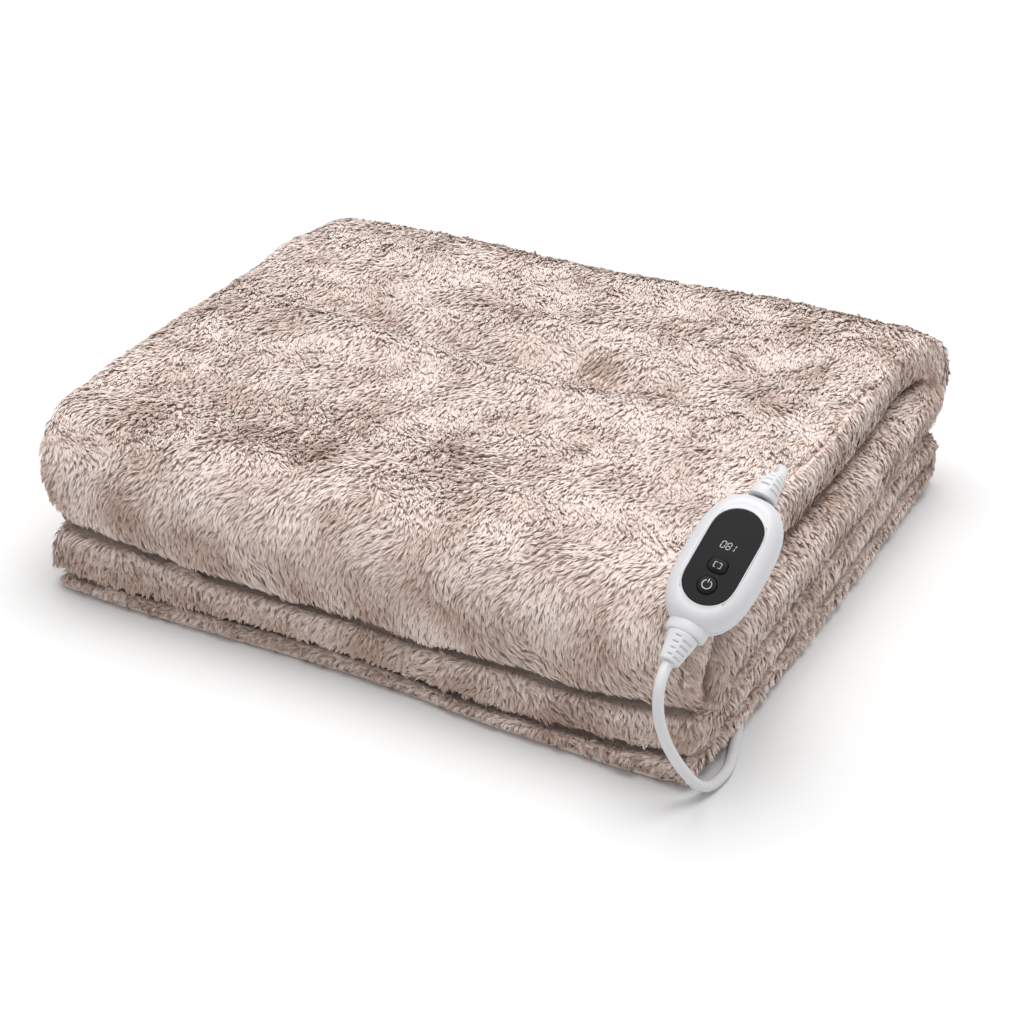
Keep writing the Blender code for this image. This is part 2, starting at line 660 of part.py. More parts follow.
leave = math.radians(COIL_LEAVE)
plug_at = (COIL_AT[0] + TURN_R * math.cos(leave) - LEAVE_RUN * math.sin(leave),
           COIL_AT[1] + TURN_R * math.sin(leave) + LEAVE_RUN * math.cos(leave), PLUG_T / 2)
plug_spot = Matrix.Translation(at(plug_at)) @ Matrix.Rotation(leave + math.pi / 2, 4, "Z")
half_outline = list(PLUG_OUTLINE)
plug_outline = [(x, -y) for x, y in half_outline] + [(x, y) for x, y in reversed(half_outline)]
plug_body = link("plug_body", flat_outline("plug_body", plug_outline, PLUG_T / 2, PLUG_EDGE),
                 white_shell, plug_spot)
tail = link("plug_tail", turned("plug_tail", (
    (0.0, PLUG_TAIL_L), (PLUG_TAIL_R1, PLUG_TAIL_L), (PLUG_TAIL_R0, 0.0040), (CORD_R, 0.0),
    (0.0, 0.0)), 24),
    None, plug_spot @ Matrix.Rotation(math.radians(90), 4, "Y"), cutter=True)
boolean(plug_body, tail, "UNION")
face = half_outline[-1][0] + PLUG_EDGE
for pin, side in (("plug_pin_a", -1), ("plug_pin_b", 1)):
    spot = plug_spot @ Matrix.Translation((face, side * PIN_APART / 2, 0.0)) @ Matrix.Rotation(
        math.radians(90), 4, "Y")
    socket = link(pin + "_hole", prism(pin + "_hole", circle(PIN_R + CLEAR, 0.0, 20),
                                       -PIN_HOLE - CLEAR, 0.0050), None, spot, cutter=True)
    boolean(plug_body, socket, "DIFFERENCE")
    link(pin, turned(pin, ((0.0, PIN_L), (PIN_R - 0.0008, PIN_L), (PIN_R, PIN_L - 0.0010),
                           (PIN_R, -PIN_HOLE), (0.0, -PIN_HOLE)), 20), pin_metal, spot)

# ------------------------------------------------------------------ lead of the throw
lead_start = HELD @ (Vector(sleeve_points[-1]) + CLEAR * (
    Vector(sleeve_points[-1]) - Vector(sleeve_points[-2])).normalized())
lead_on = HELD @ (Vector(sleeve_points[-1]) + 0.0040 * (
    Vector(sleeve_points[-1]) - Vector(sleeve_points[-2])).normalized())
lead_points, _ = smooth_route([lead_on] + [at(p) for p in LEAD_ROUTE], 0.0080)
lead_points = [lead_start] + lead_points
short_lead = link("short_lead", tube("short_lead", lead_points, [CORD_R] * len(lead_points)),
                  white_cord)

# ------------------------------------------------------------------ folded throw
blanket = link("blanket", blanket_mesh("blanket"), plush)

groove_points, _ = smooth_route([at(p) for p in CORD_ROUTE[TUNNEL_FROM:TUNNEL_TO + 1]], 0.0150)
bm = bmesh.new()
rows = []
for i, p in enumerate(groove_points):
    ahead = groove_points[min(i + 1, len(groove_points) - 1)] - groove_points[max(i - 1, 0)]
    side = Vector((-ahead.y, ahead.x, 0.0)).normalized() * TUNNEL_W / 2
    base = Vector((p.x, p.y, 0.0))
    rows.append([bm.verts.new(base + side + Vector((0, 0, -0.0100))),
                 bm.verts.new(base - side + Vector((0, 0, -0.0100))),
                 bm.verts.new(base - side + Vector((0, 0, TUNNEL_H * 0.72))),
                 bm.verts.new(base - side * 0.6 + Vector((0, 0, TUNNEL_H))),
                 bm.verts.new(base + side * 0.6 + Vector((0, 0, TUNNEL_H))),
                 bm.verts.new(base + side + Vector((0, 0, TUNNEL_H * 0.72)))])
for one, two in zip(rows, rows[1:]):
    for i in range(6):
        j = (i + 1) % 6
        bm.faces.new((one[i], one[j], two[j], two[i]))
bm.faces.new(list(reversed(rows[0])))
bm.faces.new(rows[-1])
bmesh.ops.recalc_face_normals(bm, faces=bm.faces)
groove_mesh = bpy.data.meshes.new("cord_groove")
bm.to_mesh(groove_mesh)
bm.free()
groove = link("cord_groove", groove_mesh, None, None, cutter=True)
boolean(blanket, groove, "DIFFERENCE")

nest = link("controller_nest",
            flat_outline("controller_nest", flat, BODY_T / 2 + NEST, BODY_EDGE + NEST),
            None, HELD @ MIDDLE, cutter=True)
boolean(blanket, nest, "DIFFERENCE")

hole_points, _ = smooth_route([at(p) for p in LEAD_ROUTE[LEAD_HOLE_FROM:]], 0.0080)
into = (hole_points[-1] - hole_points[-2]).normalized()
back = (hole_points[0] - hole_points[1]).normalized()
hole_points = [hole_points[0] + 0.0120 * back] + hole_points + [hole_points[-1] + 0.0010 * into]
lead_hole = link("lead_hole", tube("lead_hole", hole_points, [LEAD_HOLE_R] * len(hole_points), 2),
                 None, None, cutter=True)
boolean(blanket, lead_hole, "DIFFERENCE")
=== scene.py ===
"""Visual model of the folded electric heated throw: plush cloth with its pile, hand controller,
sleeves, mains cord, coil and plug. Metres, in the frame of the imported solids."""

import math

import bmesh
import bpy
import numpy as np
from mathutils import Matrix, Vector
from mathutils.bvhtree import BVHTree


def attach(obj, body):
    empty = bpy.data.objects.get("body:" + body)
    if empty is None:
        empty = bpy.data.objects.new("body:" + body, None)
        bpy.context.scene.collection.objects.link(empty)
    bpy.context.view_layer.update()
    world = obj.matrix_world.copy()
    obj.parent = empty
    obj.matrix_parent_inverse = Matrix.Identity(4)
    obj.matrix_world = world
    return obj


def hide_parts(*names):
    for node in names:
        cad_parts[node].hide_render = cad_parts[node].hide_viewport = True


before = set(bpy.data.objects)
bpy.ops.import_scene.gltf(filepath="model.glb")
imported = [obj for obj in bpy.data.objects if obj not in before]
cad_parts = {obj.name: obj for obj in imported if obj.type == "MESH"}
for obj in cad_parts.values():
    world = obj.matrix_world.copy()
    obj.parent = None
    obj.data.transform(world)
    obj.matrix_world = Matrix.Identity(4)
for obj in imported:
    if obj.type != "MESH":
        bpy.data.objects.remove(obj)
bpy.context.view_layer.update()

BODY = "throw"
SHIFT = np.array((0.0150, 0.0006, 0.0))


# ------------------------------------------------------------------ camera
def add_camera():
    azimuth, elevation = math.radians(27.975), math.radians(29.389)
    data = bpy.data.cameras.new("camera")
    data.sensor_width = 36.0
    data.lens = 77.21
    data.clip_start, data.clip_end = 0.05, 60.0
    cam = bpy.data.objects.new("camera", data)
    bpy.context.scene.collection.objects.link(cam)
    ahead = Vector((-math.sin(azimuth) * math.cos(elevation),
                    math.cos(azimuth) * math.cos(elevation), -math.sin(elevation)))
    right = Vector((math.cos(azimuth), math.sin(azimuth), 0.0))
    up = right.cross(ahead)
    turn = Matrix((right, up, -ahead)).transposed().to_4x4()
    cam.matrix_world = Matrix.Translation(Vector((0.6012, -1.14426, 0.73872)) + Vector(SHIFT)) @ turn
    bpy.context.scene.camera = cam
    return cam


camera = add_camera()


# ------------------------------------------------------------------ small tools
def smooth(t):
    t = min(max(t, 0.0), 1.0)
    return t * t * (3 - 2 * t)


def smooth_np(t):
    t = np.clip(t, 0.0, 1.0)
    return t * t * (3 - 2 * t)


def mix(a, b, t):
    return a + (b - a) * t


def unit(v):
    return v / np.maximum(np.linalg.norm(v, axis=-1, keepdims=True), 1e-12)


def waves(p, length, seed, count=9):
    """A smooth random field of about -1 to 1 whose bumps are about length across."""
    rng = np.random.default_rng(seed)
    k = unit(rng.normal(size=(count, 3))) * (2 * math.pi / length) * rng.uniform(0.55, 1.35, (count, 1))
    phase = rng.uniform(0, 2 * math.pi, count)
    return np.sin(p @ k.T + phase).sum(1) / math.sqrt(count) * 1.1


def catmull(points, share):
    """Points of a smooth curve through the rows of points, at the given shares of its index."""
    pts = np.asarray(points, float)
    pad = np.vstack([2 * pts[:1] - pts[1:2], pts, 2 * pts[-1:] - pts[-2:-1]])
    s = np.asarray(share) * (len(pts) - 1)
    i = np.minimum(s.astype(int), len(pts) - 2)
    t = (s - i)[:, None]
    p0, p1, p2, p3 = pad[i], pad[i + 1], pad[i + 2], pad[i + 3]
    return 0.5 * (2 * p1 + (p2 - p0) * t + (2 * p0 - 5 * p1 + 4 * p2 - p3) * t ** 2
                  + (3 * p1 - p0 - 3 * p2 + p3) * t ** 3)


def even(points, spacing):
    """The same line with points that far apart."""
    pts = np.asarray(points, float)
    far = np.concatenate([[0.0], np.cumsum(np.linalg.norm(np.diff(pts, axis=0), axis=1))])
    count = max(2, int(round(far[-1] / spacing)))
    goal = np.linspace(0, far[-1], count + 1)
    return np.stack([np.interp(goal, far, pts[:, k]) for k in range(3)], 1)


def length_of(points):
    return float(np.linalg.norm(np.diff(np.asarray(points), axis=0), axis=1).sum())


def new_object(name, mesh, mat=None):
    obj = bpy.data.objects.new(name, mesh)
    bpy.context.scene.collection.objects.link(obj)
    if mat is not None:
        mesh.materials.append(mat)
    return obj


def mesh_from(name, verts, faces, smooth_shade=True):
    """A mesh from an array of points and one or more arrays of faces."""
    groups = faces if isinstance(faces, list) else [faces]
    mesh = bpy.data.meshes.new(name)
    mesh.vertices.add(len(verts))
    mesh.vertices.foreach_set("co", np.asarray(verts, np.float32).ravel())
    loops = np.concatenate([g.ravel() for g in groups]).astype(np.int32)
    totals = np.concatenate([np.full(len(g), g.shape[1]) for g in groups]).astype(np.int32)
    starts = np.concatenate([[0], np.cumsum(totals)[:-1]]).astype(np.int32)
    mesh.loops.add(len(loops))
    mesh.loops.foreach_set("vertex_index", loops)
    mesh.polygons.add(len(totals))
    mesh.polygons.foreach_set("loop_start", starts)
    mesh.polygons.foreach_set("loop_total", totals)
    mesh.update(calc_edges=True)
    if smooth_shade:
        mesh.shade_smooth()
    return mesh


def float_attribute(mesh, name, values):
    layer = mesh.attributes.new(name, "FLOAT", "POINT")
    layer.data.foreach_set("value", np.asarray(values, np.float32))


# ------------------------------------------------------------------ materials
def srgb(r, g, b):
    def one(c):
        c /= 255
        return c / 12.92 if c <= 0.04045 else ((c + 0.055) / 1.055) ** 2.4
    return (one(r), one(g), one(b), 1.0)


def new_material(name, roughness=0.5, metallic=0.0, **sockets):
    mat = bpy.data.materials.new(name)
    mat.use_nodes = True
    node = mat.node_tree.nodes["Principled BSDF"]
    node.inputs["Roughness"].default_value = roughness
    node.inputs["Metallic"].default_value = metallic
    for key, value in sockets.items():
        node.inputs[key.replace("_", " ")].default_value = value
    return mat, mat.node_tree.nodes, mat.node_tree.links, node


def ramp(nodes, stops):
    node = nodes.new("ShaderNodeValToRGB")
    elements = node.color_ramp.elements
    while len(elements) < len(stops):
        elements.new(0.5)
    for element, (at, colour) in zip(elements, stops):
        element.position = at
        element.color = colour
    return node


def noise_node(nodes, links, scale, detail=2.0, rough=0.5):
    place_in = nodes.new("ShaderNodeTexCoord")
    noise = nodes.new("ShaderNodeTexNoise")
    noise.inputs["Scale"].default_value = scale
    noise.inputs["Detail"].default_value = detail
    noise.inputs["Roughness"].default_value = rough
    links.new(place_in.outputs["Object"], noise.inputs["Vector"])
    return noise


def bump_from(nodes, links, source, strength, distance, shader):
    bump = nodes.new("ShaderNodeBump")
    bump.inputs["Strength"].default_value = strength
    bump.inputs["Distance"].default_value = distance
    links.new(source, bump.inputs["Height"])
    links.new(bump.outputs["Normal"], shader.inputs["Normal"])
    return bump


def pile_material(name, root, low, middle, tip):
    mat, nodes, links, shader = new_material(name, 0.62)
    shader.inputs["Specular IOR Level"].default_value = 0.25
    shader.inputs["Sheen Weight"].default_value = 0.25
    shader.inputs["Sheen Roughness"].default_value = 0.45
    along = nodes.new("ShaderNodeAttribute")
    along.attribute_name = "along"
    # the colour darkens from tip to root: painted shade deep in the pile
    colours = ramp(nodes, ((0.0, root), (0.30, low), (0.62, middle), (1.0, tip)))
    links.new(along.outputs["Fac"], colours.inputs["Fac"])
    # tone_and_shade multiplies the colour: random tone, with painted shade on the sides, along the seam, in the
    # rough patches and crease troughs, and painted highlight on the crease ridges
    tone_and_shade = nodes.new("ShaderNodeAttribute")
    tone_and_shade.attribute_name = "tone_and_shade"
    shade = ramp(nodes, ((0.0, srgb(196, 178, 166)), (0.5, srgb(240, 235, 231)), (1.0, (1.0, 1.0, 1.0, 1.0))))
    links.new(tone_and_shade.outputs["Fac"], shade.inputs["Fac"])
    both = nodes.new("ShaderNodeMix")
    both.data_type = "RGBA"
    both.blend_type = "MULTIPLY"
    both.inputs["Factor"].default_value = 1.0
    links.new(colours.outputs["Color"], both.inputs["A"])
    links.new(shade.outputs["Color"], both.inputs["B"])
    shader.inputs["Base Color"].default_value = middle
    links.new(both.outputs["Result"], shader.inputs["Base Color"])
    return mat


def cloth_material():
    mat, nodes, links, shader = new_material("plush_ground", 0.9)
    shader.inputs["Specular IOR Level"].default_value = 0.15
    noise = noise_node(nodes, links, 420.0, 3.0, 0.6)
    colours = ramp(nodes, ((0.30, srgb(222, 201, 190)), (0.70, srgb(243, 229, 221))))
    shader.inputs["Base Color"].default_value = srgb(232, 215, 206)
    links.new(noise.outputs["Fac"], colours.inputs["Fac"])
    links.new(colours.outputs["Color"], shader.inputs["Base Color"])
    bump_from(nodes, links, noise.outputs["Fac"], 0.6, 0.0012, shader)
    return mat


def plastic_material(name, light, dark, roughness, grain, grain_depth, coat=0.0):
    mat, nodes, links, shader = new_material(name, roughness)
    shader.inputs["Coat Weight"].default_value = coat
    shader.inputs["Coat Roughness"].default_value = 0.12
    noise = noise_node(nodes, links, 60.0, 3.0, 0.55)
    colours = ramp(nodes, ((0.25, dark), (0.75, light)))
    shader.inputs["Base Color"].default_value = light
    links.new(noise.outputs["Fac"], colours.inputs["Fac"])
    links.new(colours.outputs["Color"], shader.inputs["Base Color"])
    fine = noise_node(nodes, links, grain, 2.0, 0.5)
    bump_from(nodes, links, fine.outputs["Fac"], 0.25, grain_depth, shader)
    return mat


PILE = pile_material("plush_pile", srgb(230, 206, 194), srgb(242, 224, 216), srgb(248, 236, 230),
                     srgb(253, 246, 243))
GROUND = cloth_material()
WHITE = plastic_material("white_shell_fine", srgb(213, 213, 216), srgb(209, 209, 212), 0.34, 1800.0, 0.00003)
CORD = plastic_material("white_cord_fine", srgb(218, 218, 220), srgb(212, 212, 214), 0.38, 900.0, 0.00005)
SLEEVE = plastic_material("white_sleeve_fine", srgb(218, 218, 220), srgb(212, 212, 214), 0.45, 900.0, 0.00005)
BLACK = plastic_material("black_panel_fine", srgb(12, 12, 14), srgb(8, 8, 10), 0.30, 1500.0, 0.00002)
KEY = plastic_material("black_key_fine", srgb(18, 18, 20), srgb(12, 12, 14), 0.34, 1500.0, 0.00003)
for gloss in (BLACK, KEY):
    gloss.node_tree.nodes["Principled BSDF"].inputs["Specular IOR Level"].default_value = 0.12


def mark_material():
    mat, nodes, links, shader = new_material("white_marks", 0.5)
    noise = noise_node(nodes, links, 300.0)
    colours = ramp(nodes, ((0.3, srgb(168, 168, 170)), (0.7, srgb(206, 206, 208))))
    links.new(noise.outputs["Fac"], colours.inputs["Fac"])
    links.new(colours.outputs["Color"], shader.inputs["Base Color"])
    # the emission makes the marks glow: painted light on the printed key marks; the display's digits are lit
    links.new(colours.outputs["Color"], shader.inputs["Emission Color"])
    shader.inputs["Emission Strength"].default_value = 0.15
    return mat


def pin_material():
    mat, nodes, links, shader = new_material("nickel_fine", 0.22, 1.0)
    noise = noise_node(nodes, links, 700.0, 3.0)
    colours = ramp(nodes, ((0.3, srgb(196, 196, 198)), (0.7, srgb(222, 222, 222))))
    links.new(noise.outputs["Fac"], colours.inputs["Fac"])
    links.new(colours.outputs["Color"], shader.inputs["Base Color"])
    bump_from(nodes, links, noise.outputs["Fac"], 0.15, 0.00003, shader)
    return mat


MARKS = mark_material()
NICKEL = pin_material()

# ------------------------------------------------------------------ controller's place
PANEL_AT = np.array((0.2201, -0.1820, 0.1315)) + SHIFT
HELD = (Matrix.Translation(Vector(PANEL_AT))
        @ Matrix.Rotation(math.radians(-8.0), 4, "Z")
        @ Matrix.Rotation(math.radians(32.5), 4, "X")
        @ Matrix.Rotation(math.radians(10.8), 4, "Y"))
HELD_NP = np.array(HELD)
BODY_W, BODY_L, BODY_T = 0.0495, 0.0870, 0.0200
NECK_OUT, CLEAR = 0.0042, 0.0003
RELIEF_L, RELIEF_BASE, RELIEF_TIP = 0.0168, 0.0090, 0.0058
UPPER_SLEEVE = (
    (0.0000, 0.0444, -0.0100, 0.0086),
    (0.0000, 0.0474, -0.0100, 0.0082),
    (0.0000, 0.0524, -0.0108, 0.0072),
    (0.0000, 0.0574, -0.0130, 0.0062),
    (0.0000, 0.0618, -0.0165, 0.0052),
)


def held(points):
    """Points of the controller's frame in the row frame."""
    p = np.asarray(points, float)
    return p @ HELD_NP[:3, :3].T + HELD_NP[:3, 3]


def in_held(points):
    return (np.asarray(points) - HELD_NP[:3, 3]) @ HELD_NP[:3, :3]


# ------------------------------------------------------------------ mains cord
CORD_R, CORD_Z = 0.00325, 0.0034
CORD_ROUTE = (
    (0.2116, -0.2418, 0.0808),
    (0.2128, -0.2463, 0.0715),
    (0.2143, -0.2463, 0.0599),
    (0.2170, -0.2430, 0.0458),
    (0.2208, -0.2392, 0.0340),
    (0.2252, -0.2340, 0.0225),
    (0.2293, -0.2270, 0.0115),
    (0.2328, -0.2180, 0.0050),
    (0.2345, -0.2080, CORD_Z),
    (0.2352, -0.1970, CORD_Z),
    (0.2330, -0.1850, CORD_Z),
    (0.2288, -0.1700, CORD_Z),
    (0.2180, -0.1350, CORD_Z),
    (0.1980, -0.0820, CORD_Z),
    (0.1700, -0.0080, CORD_Z),
    (0.1450, 0.0650, CORD_Z),
    (0.1250, 0.1300, CORD_Z),
    (0.1090, 0.1880, CORD_Z),
    (0.0985, 0.2172, CORD_Z),
)
COIL_AT = np.array((0.0600, 0.2750, 0.0)) + SHIFT
COIL_R, COIL_W, COIL_H = 0.0360, 0.0210, 0.0150
half_axis = BODY_L / 2 + NECK_OUT + CLEAR
cord_exit = held((0.0, -half_axis - RELIEF_L, -BODY_T / 2))
TURN = 2 * CORD_R + 0.0004            # from one turn of the coil to the next
TOP_Z = CORD_Z + 2 * CORD_R + 0.0003  # height of the upper layer of turns
COIL_START, COIL_LEAVE, LEAVE_RUN = 3.0, 120.0, 0.0252
TAIL_Z = 0.00685


def coil_points():
    """Three turns inwards on the floor, then outwards again on top of them."""
    turns = 5 + (COIL_LEAVE - COIL_START) / 360
    count = int(turns * 32)
    rows = []
    for k in range(count + 1):
        t = turns * k / count
        part = smooth((t % 1.0 - 0.78) / 0.22)
        if t < 3:
            r = COIL_R + TURN - TURN * min(int(t) + part, 2.0)
        else:
            r = COIL_R - TURN + TURN * min(int(t) - 3 + part, 2.0)
        z = mix(CORD_Z, TOP_Z, smooth((t - 2.66) / 0.24))
        a = math.radians(COIL_START) + 2 * math.pi * t
        rows.append((COIL_AT[0] + r * math.cos(a), COIL_AT[1] + r * math.sin(a), z))
    return rows


away = HELD_NP[:3, :3] @ np.array((0.0, -1.0, 0.0))
to_coil = [(0.1040, 0.2120, CORD_Z), (0.1026, 0.2380, CORD_Z), (0.1030, 0.2590, CORD_Z)]
coil_line = np.array(coil_points())
run = ([cord_exit, cord_exit + 0.0040 * away] + [np.array(p) + SHIFT for p in CORD_ROUTE[:-1]]
       + [np.array(p) + SHIFT for p in to_coil] + [coil_line[0]])
run_line = even(catmull(run, np.linspace(0, 1, 900)), 0.0060)
leave_from = coil_line[-1]
leave_way = np.array((-math.sin(math.radians(COIL_LEAVE)), math.cos(math.radians(COIL_LEAVE)), 0.0))
leave_line = []
for s in (0.005, 0.010, 0.0140, 0.0180, 0.0215, 0.0252, 0.0272):
    p = leave_from + s * leave_way
    p[2] = mix(TOP_Z, TAIL_Z, smooth((s - 0.010) / 0.0150))
    leave_line.append(p)
cord_line = np.vstack([run_line[:-1], coil_line, leave_line])


def tube_curve(name, points, radius, mat, resolution=4):
    curve = bpy.data.curves.new(name, "CURVE")
    curve.dimensions = "3D"
    curve.bevel_depth = radius
    curve.bevel_resolution = resolution
    curve.use_fill_caps = True
    spline = curve.splines.new("POLY")
    spline.points.add(len(points) - 1)
    for point, at in zip(spline.points, points):
        point.co = (*[float(v) for v in at], 1.0)
    spline.use_smooth = True
    obj = bpy.data.objects.new(name, curve)
    bpy.context.scene.collection.objects.link(obj)
    curve.materials.append(mat)
    return obj


mains_cord = tube_curve("mains_cord", cord_line, CORD_R, CORD)
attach(mains_cord, BODY)
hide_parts("cord_run", "cord_coil")


def coil_tie():
    """A soft band round the bundle of turns."""
    angle = math.radians(205.0)
    out = np.array((math.cos(angle), math.sin(angle), 0.0))
    side = np.array((-math.sin(angle), math.cos(angle), 0.0))
    inner, outer = COIL_R - TURN - CORD_R, COIL_R + TURN + CORD_R
    low, high = 0.0003, TOP_Z + CORD_R
    ring = []
    for cx, cz, a0 in ((outer - 0.0022, high - 0.0022, 0), (inner + 0.0022, high - 0.0022, 90),
                       (inner + 0.0022, low + 0.0022, 180), (outer - 0.0022, low + 0.0022, 270)):
        for i in range(7):
            a = math.radians(a0 + 90 * i / 6)
            ring.append((cx, cz, math.cos(a), math.sin(a)))
    verts, faces = [], []
    widths = (-0.0045, -0.0040, 0.0, 0.0040, 0.0045)
    proud = (0.0004, 0.0009, 0.0010, 0.0009, 0.0004)
    for layer in (1, 0):
        for w, h in zip(widths, proud):
            for cx, cz, c, s in ring:
                r = 0.0022 + (h if layer else 0.0)
                p = COIL_AT + out * (cx + r * c) + side * w
                verts.append((p[0], p[1], max(cz + r * s, 0.00005 if layer else 0.0006)))
    n, m = len(ring), len(widths)
    for layer in range(2):
        base = layer * n * m
        for i in range(m - 1):
            for j in range(n):
                k = (j + 1) % n
                quad = [base + i * n + j, base + i * n + k, base + (i + 1) * n + k, base + (i + 1) * n + j]
                faces.append(quad if layer == 0 else quad[::-1])
    for j in range(n):
        k = (j + 1) % n
        faces.append([j, n * m + j, n * m + k, k])
        a, b = (m - 1) * n, n * m + (m - 1) * n
        faces.append([a + k, b + k, b + j, a + j])
    mesh = mesh_from("coil_tie", verts, np.array(faces))
    bm = bmesh.new()
    bm.from_mesh(mesh)
    bmesh.ops.recalc_face_normals(bm, faces=bm.faces)
    bm.to_mesh(mesh)
    bm.free()
    mesh.shade_smooth()
    return new_object("coil_tie", mesh, SLEEVE)


tie = coil_tie()
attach(tie, BODY)
print("cord length", round(length_of(cord_line), 3))

# ------------------------------------------------------------------ folded cloth
GAP = 0.0018
BOTTOM_TOP, MIDDLE_TOP, THIRD_TOP, STACK_TOP = 0.0150, 0.0405, 0.0765, 0.1120
FRONT_Y, LOWER_BACK_Y, UPPER_BACK_Y, FRONT_FOLD_Y = -0.2135, 0.1800, 0.1840, -0.1680
SHOULDER_Y, SHOULDER_Z, FLAP_THICK, END_ROUND = -0.1500, 0.0620, 0.0240, 0.0130
PLACES = np.array((
    #  x       flap_low  line    front    crown    back
    (-0.2700, 0.0500, 0.0130, 0.0030, -0.0020, -0.0040),
    (-0.2000, 0.0455, 0.0125, -0.0010, 0.0000, 0.0010),
    (-0.1650, 0.0440, 0.0125, -0.0015, 0.0000, 0.0020),
    (-0.1300, 0.0400, 0.0130, -0.0010, 0.0005, 0.0010),
    (-0.0600, 0.0385, 0.0135, 0.0005, 0.0000, 0.0000),
    (0.0000, 0.0392, 0.0130, 0.0005, 0.0000, -0.0010),
    (0.0500, 0.0375, 0.0110, -0.0020, 0.0010, 0.0010),
    (0.1000, 0.0410, 0.0118, -0.0045, 0.0028, 0.0020),
    (0.1400, 0.0395, 0.0128, -0.0050, 0.0038, 0.0025),
    (0.1900, 0.0430, 0.0155, -0.0070, 0.0032, 0.0000),
    (0.2300, 0.0470, 0.0190, -0.0060, 0.0015, -0.0028),
))
CREASES = (
    # long ridge and trough, upper ridge, dents of the middle, back and right, swell and dents
    (-0.165, 0.020, 0.075, -0.005, 0.013, 0.0030),
    (-0.150, 0.048, 0.080, 0.022, 0.014, -0.0030),
    (0.000, 0.085, 0.120, 0.045, 0.012, 0.0026),
    (0.020, 0.040, 0.090, 0.030, 0.016, -0.0022),
    (0.085, 0.150, 0.120, 0.080, 0.018, -0.0026),
    (0.165, 0.110, 0.150, 0.030, 0.020, -0.0030),
    (0.185, 0.060, 0.180, -0.060, 0.018, 0.0020),
    (-0.180, -0.100, -0.060, -0.130, 0.026, -0.0030),
    (-0.230, 0.130, -0.120, 0.150, 0.030, 0.0025),
)
ENDS = {
    "bottom": (-0.2370, 0.2290),
    "second": (-0.2310, 0.2282),
    "third": (-0.2440, 0.2284),
    "top": (-0.2400, 0.2150),
    "flap": (-0.2400, 0.2235),
}
TOP_FLARE, DROOP_FROM, DROOP = 0.0400, -0.2440, 0.0100


def place(x, column):
    k = ("x", "flap_low", "line", "front", "crown", "back").index(column)
    return float(np.interp(x, PLACES[:, 0], PLACES[:, k]))


def crease_height(x, y):
    total = 0.0
    for x0, y0, x1, y1, width, height in CREASES:
        dx, dy = x1 - x0, y1 - y0
        t = min(max(((x - x0) * dx + (y - y0) * dy) / (dx * dx + dy * dy), 0.0), 1.0)
        d = math.hypot(x - x0 - t * dx, y - y0 - t * dy)
        total += height * math.exp(-((d / width) ** 2))
    return total * (1 + 0.6 * smooth((y + 0.10) / 0.05))


def crease_field(x, y):
    """crease_height for many points, used to paint highlight on the ridges and shade in the troughs."""
    total = np.zeros(len(x))
    for x0, y0, x1, y1, width, height in CREASES:
        dx, dy = x1 - x0, y1 - y0
        t = np.clip(((x - x0) * dx + (y - y0) * dy) / (dx * dx + dy * dy), 0.0, 1.0)
        d = np.hypot(x - x0 - t * dx, y - y0 - t * dy)
        total += height * np.exp(-((d / width) ** 2))
    return total


def gap_one(x, y):
    front = smooth((-0.10 - y) / 0.10)
    level = BOTTOM_TOP + 0.0010 * math.sin(17 * x + 9 * y) + 0.0040 * smooth((y - 0.05) / 0.12)
    return mix(level, place(x, "line"), front)


def gap_two(x, y):
    return MIDDLE_TOP + 0.0012 * math.sin(13 * x - 11 * y + 1.0) + 0.0025 * smooth((y + 0.05) / 0.2)


def gap_three(x, y):
    return THIRD_TOP + 0.0012 * math.sin(11 * x + 14 * y + 2.0)


def top_face(x, y):
    side = 0.0022 * math.exp(-(((x - 0.2110) / 0.008) ** 2))
    return STACK_TOP + place(x, "crown") + crease_height(x, y) + side


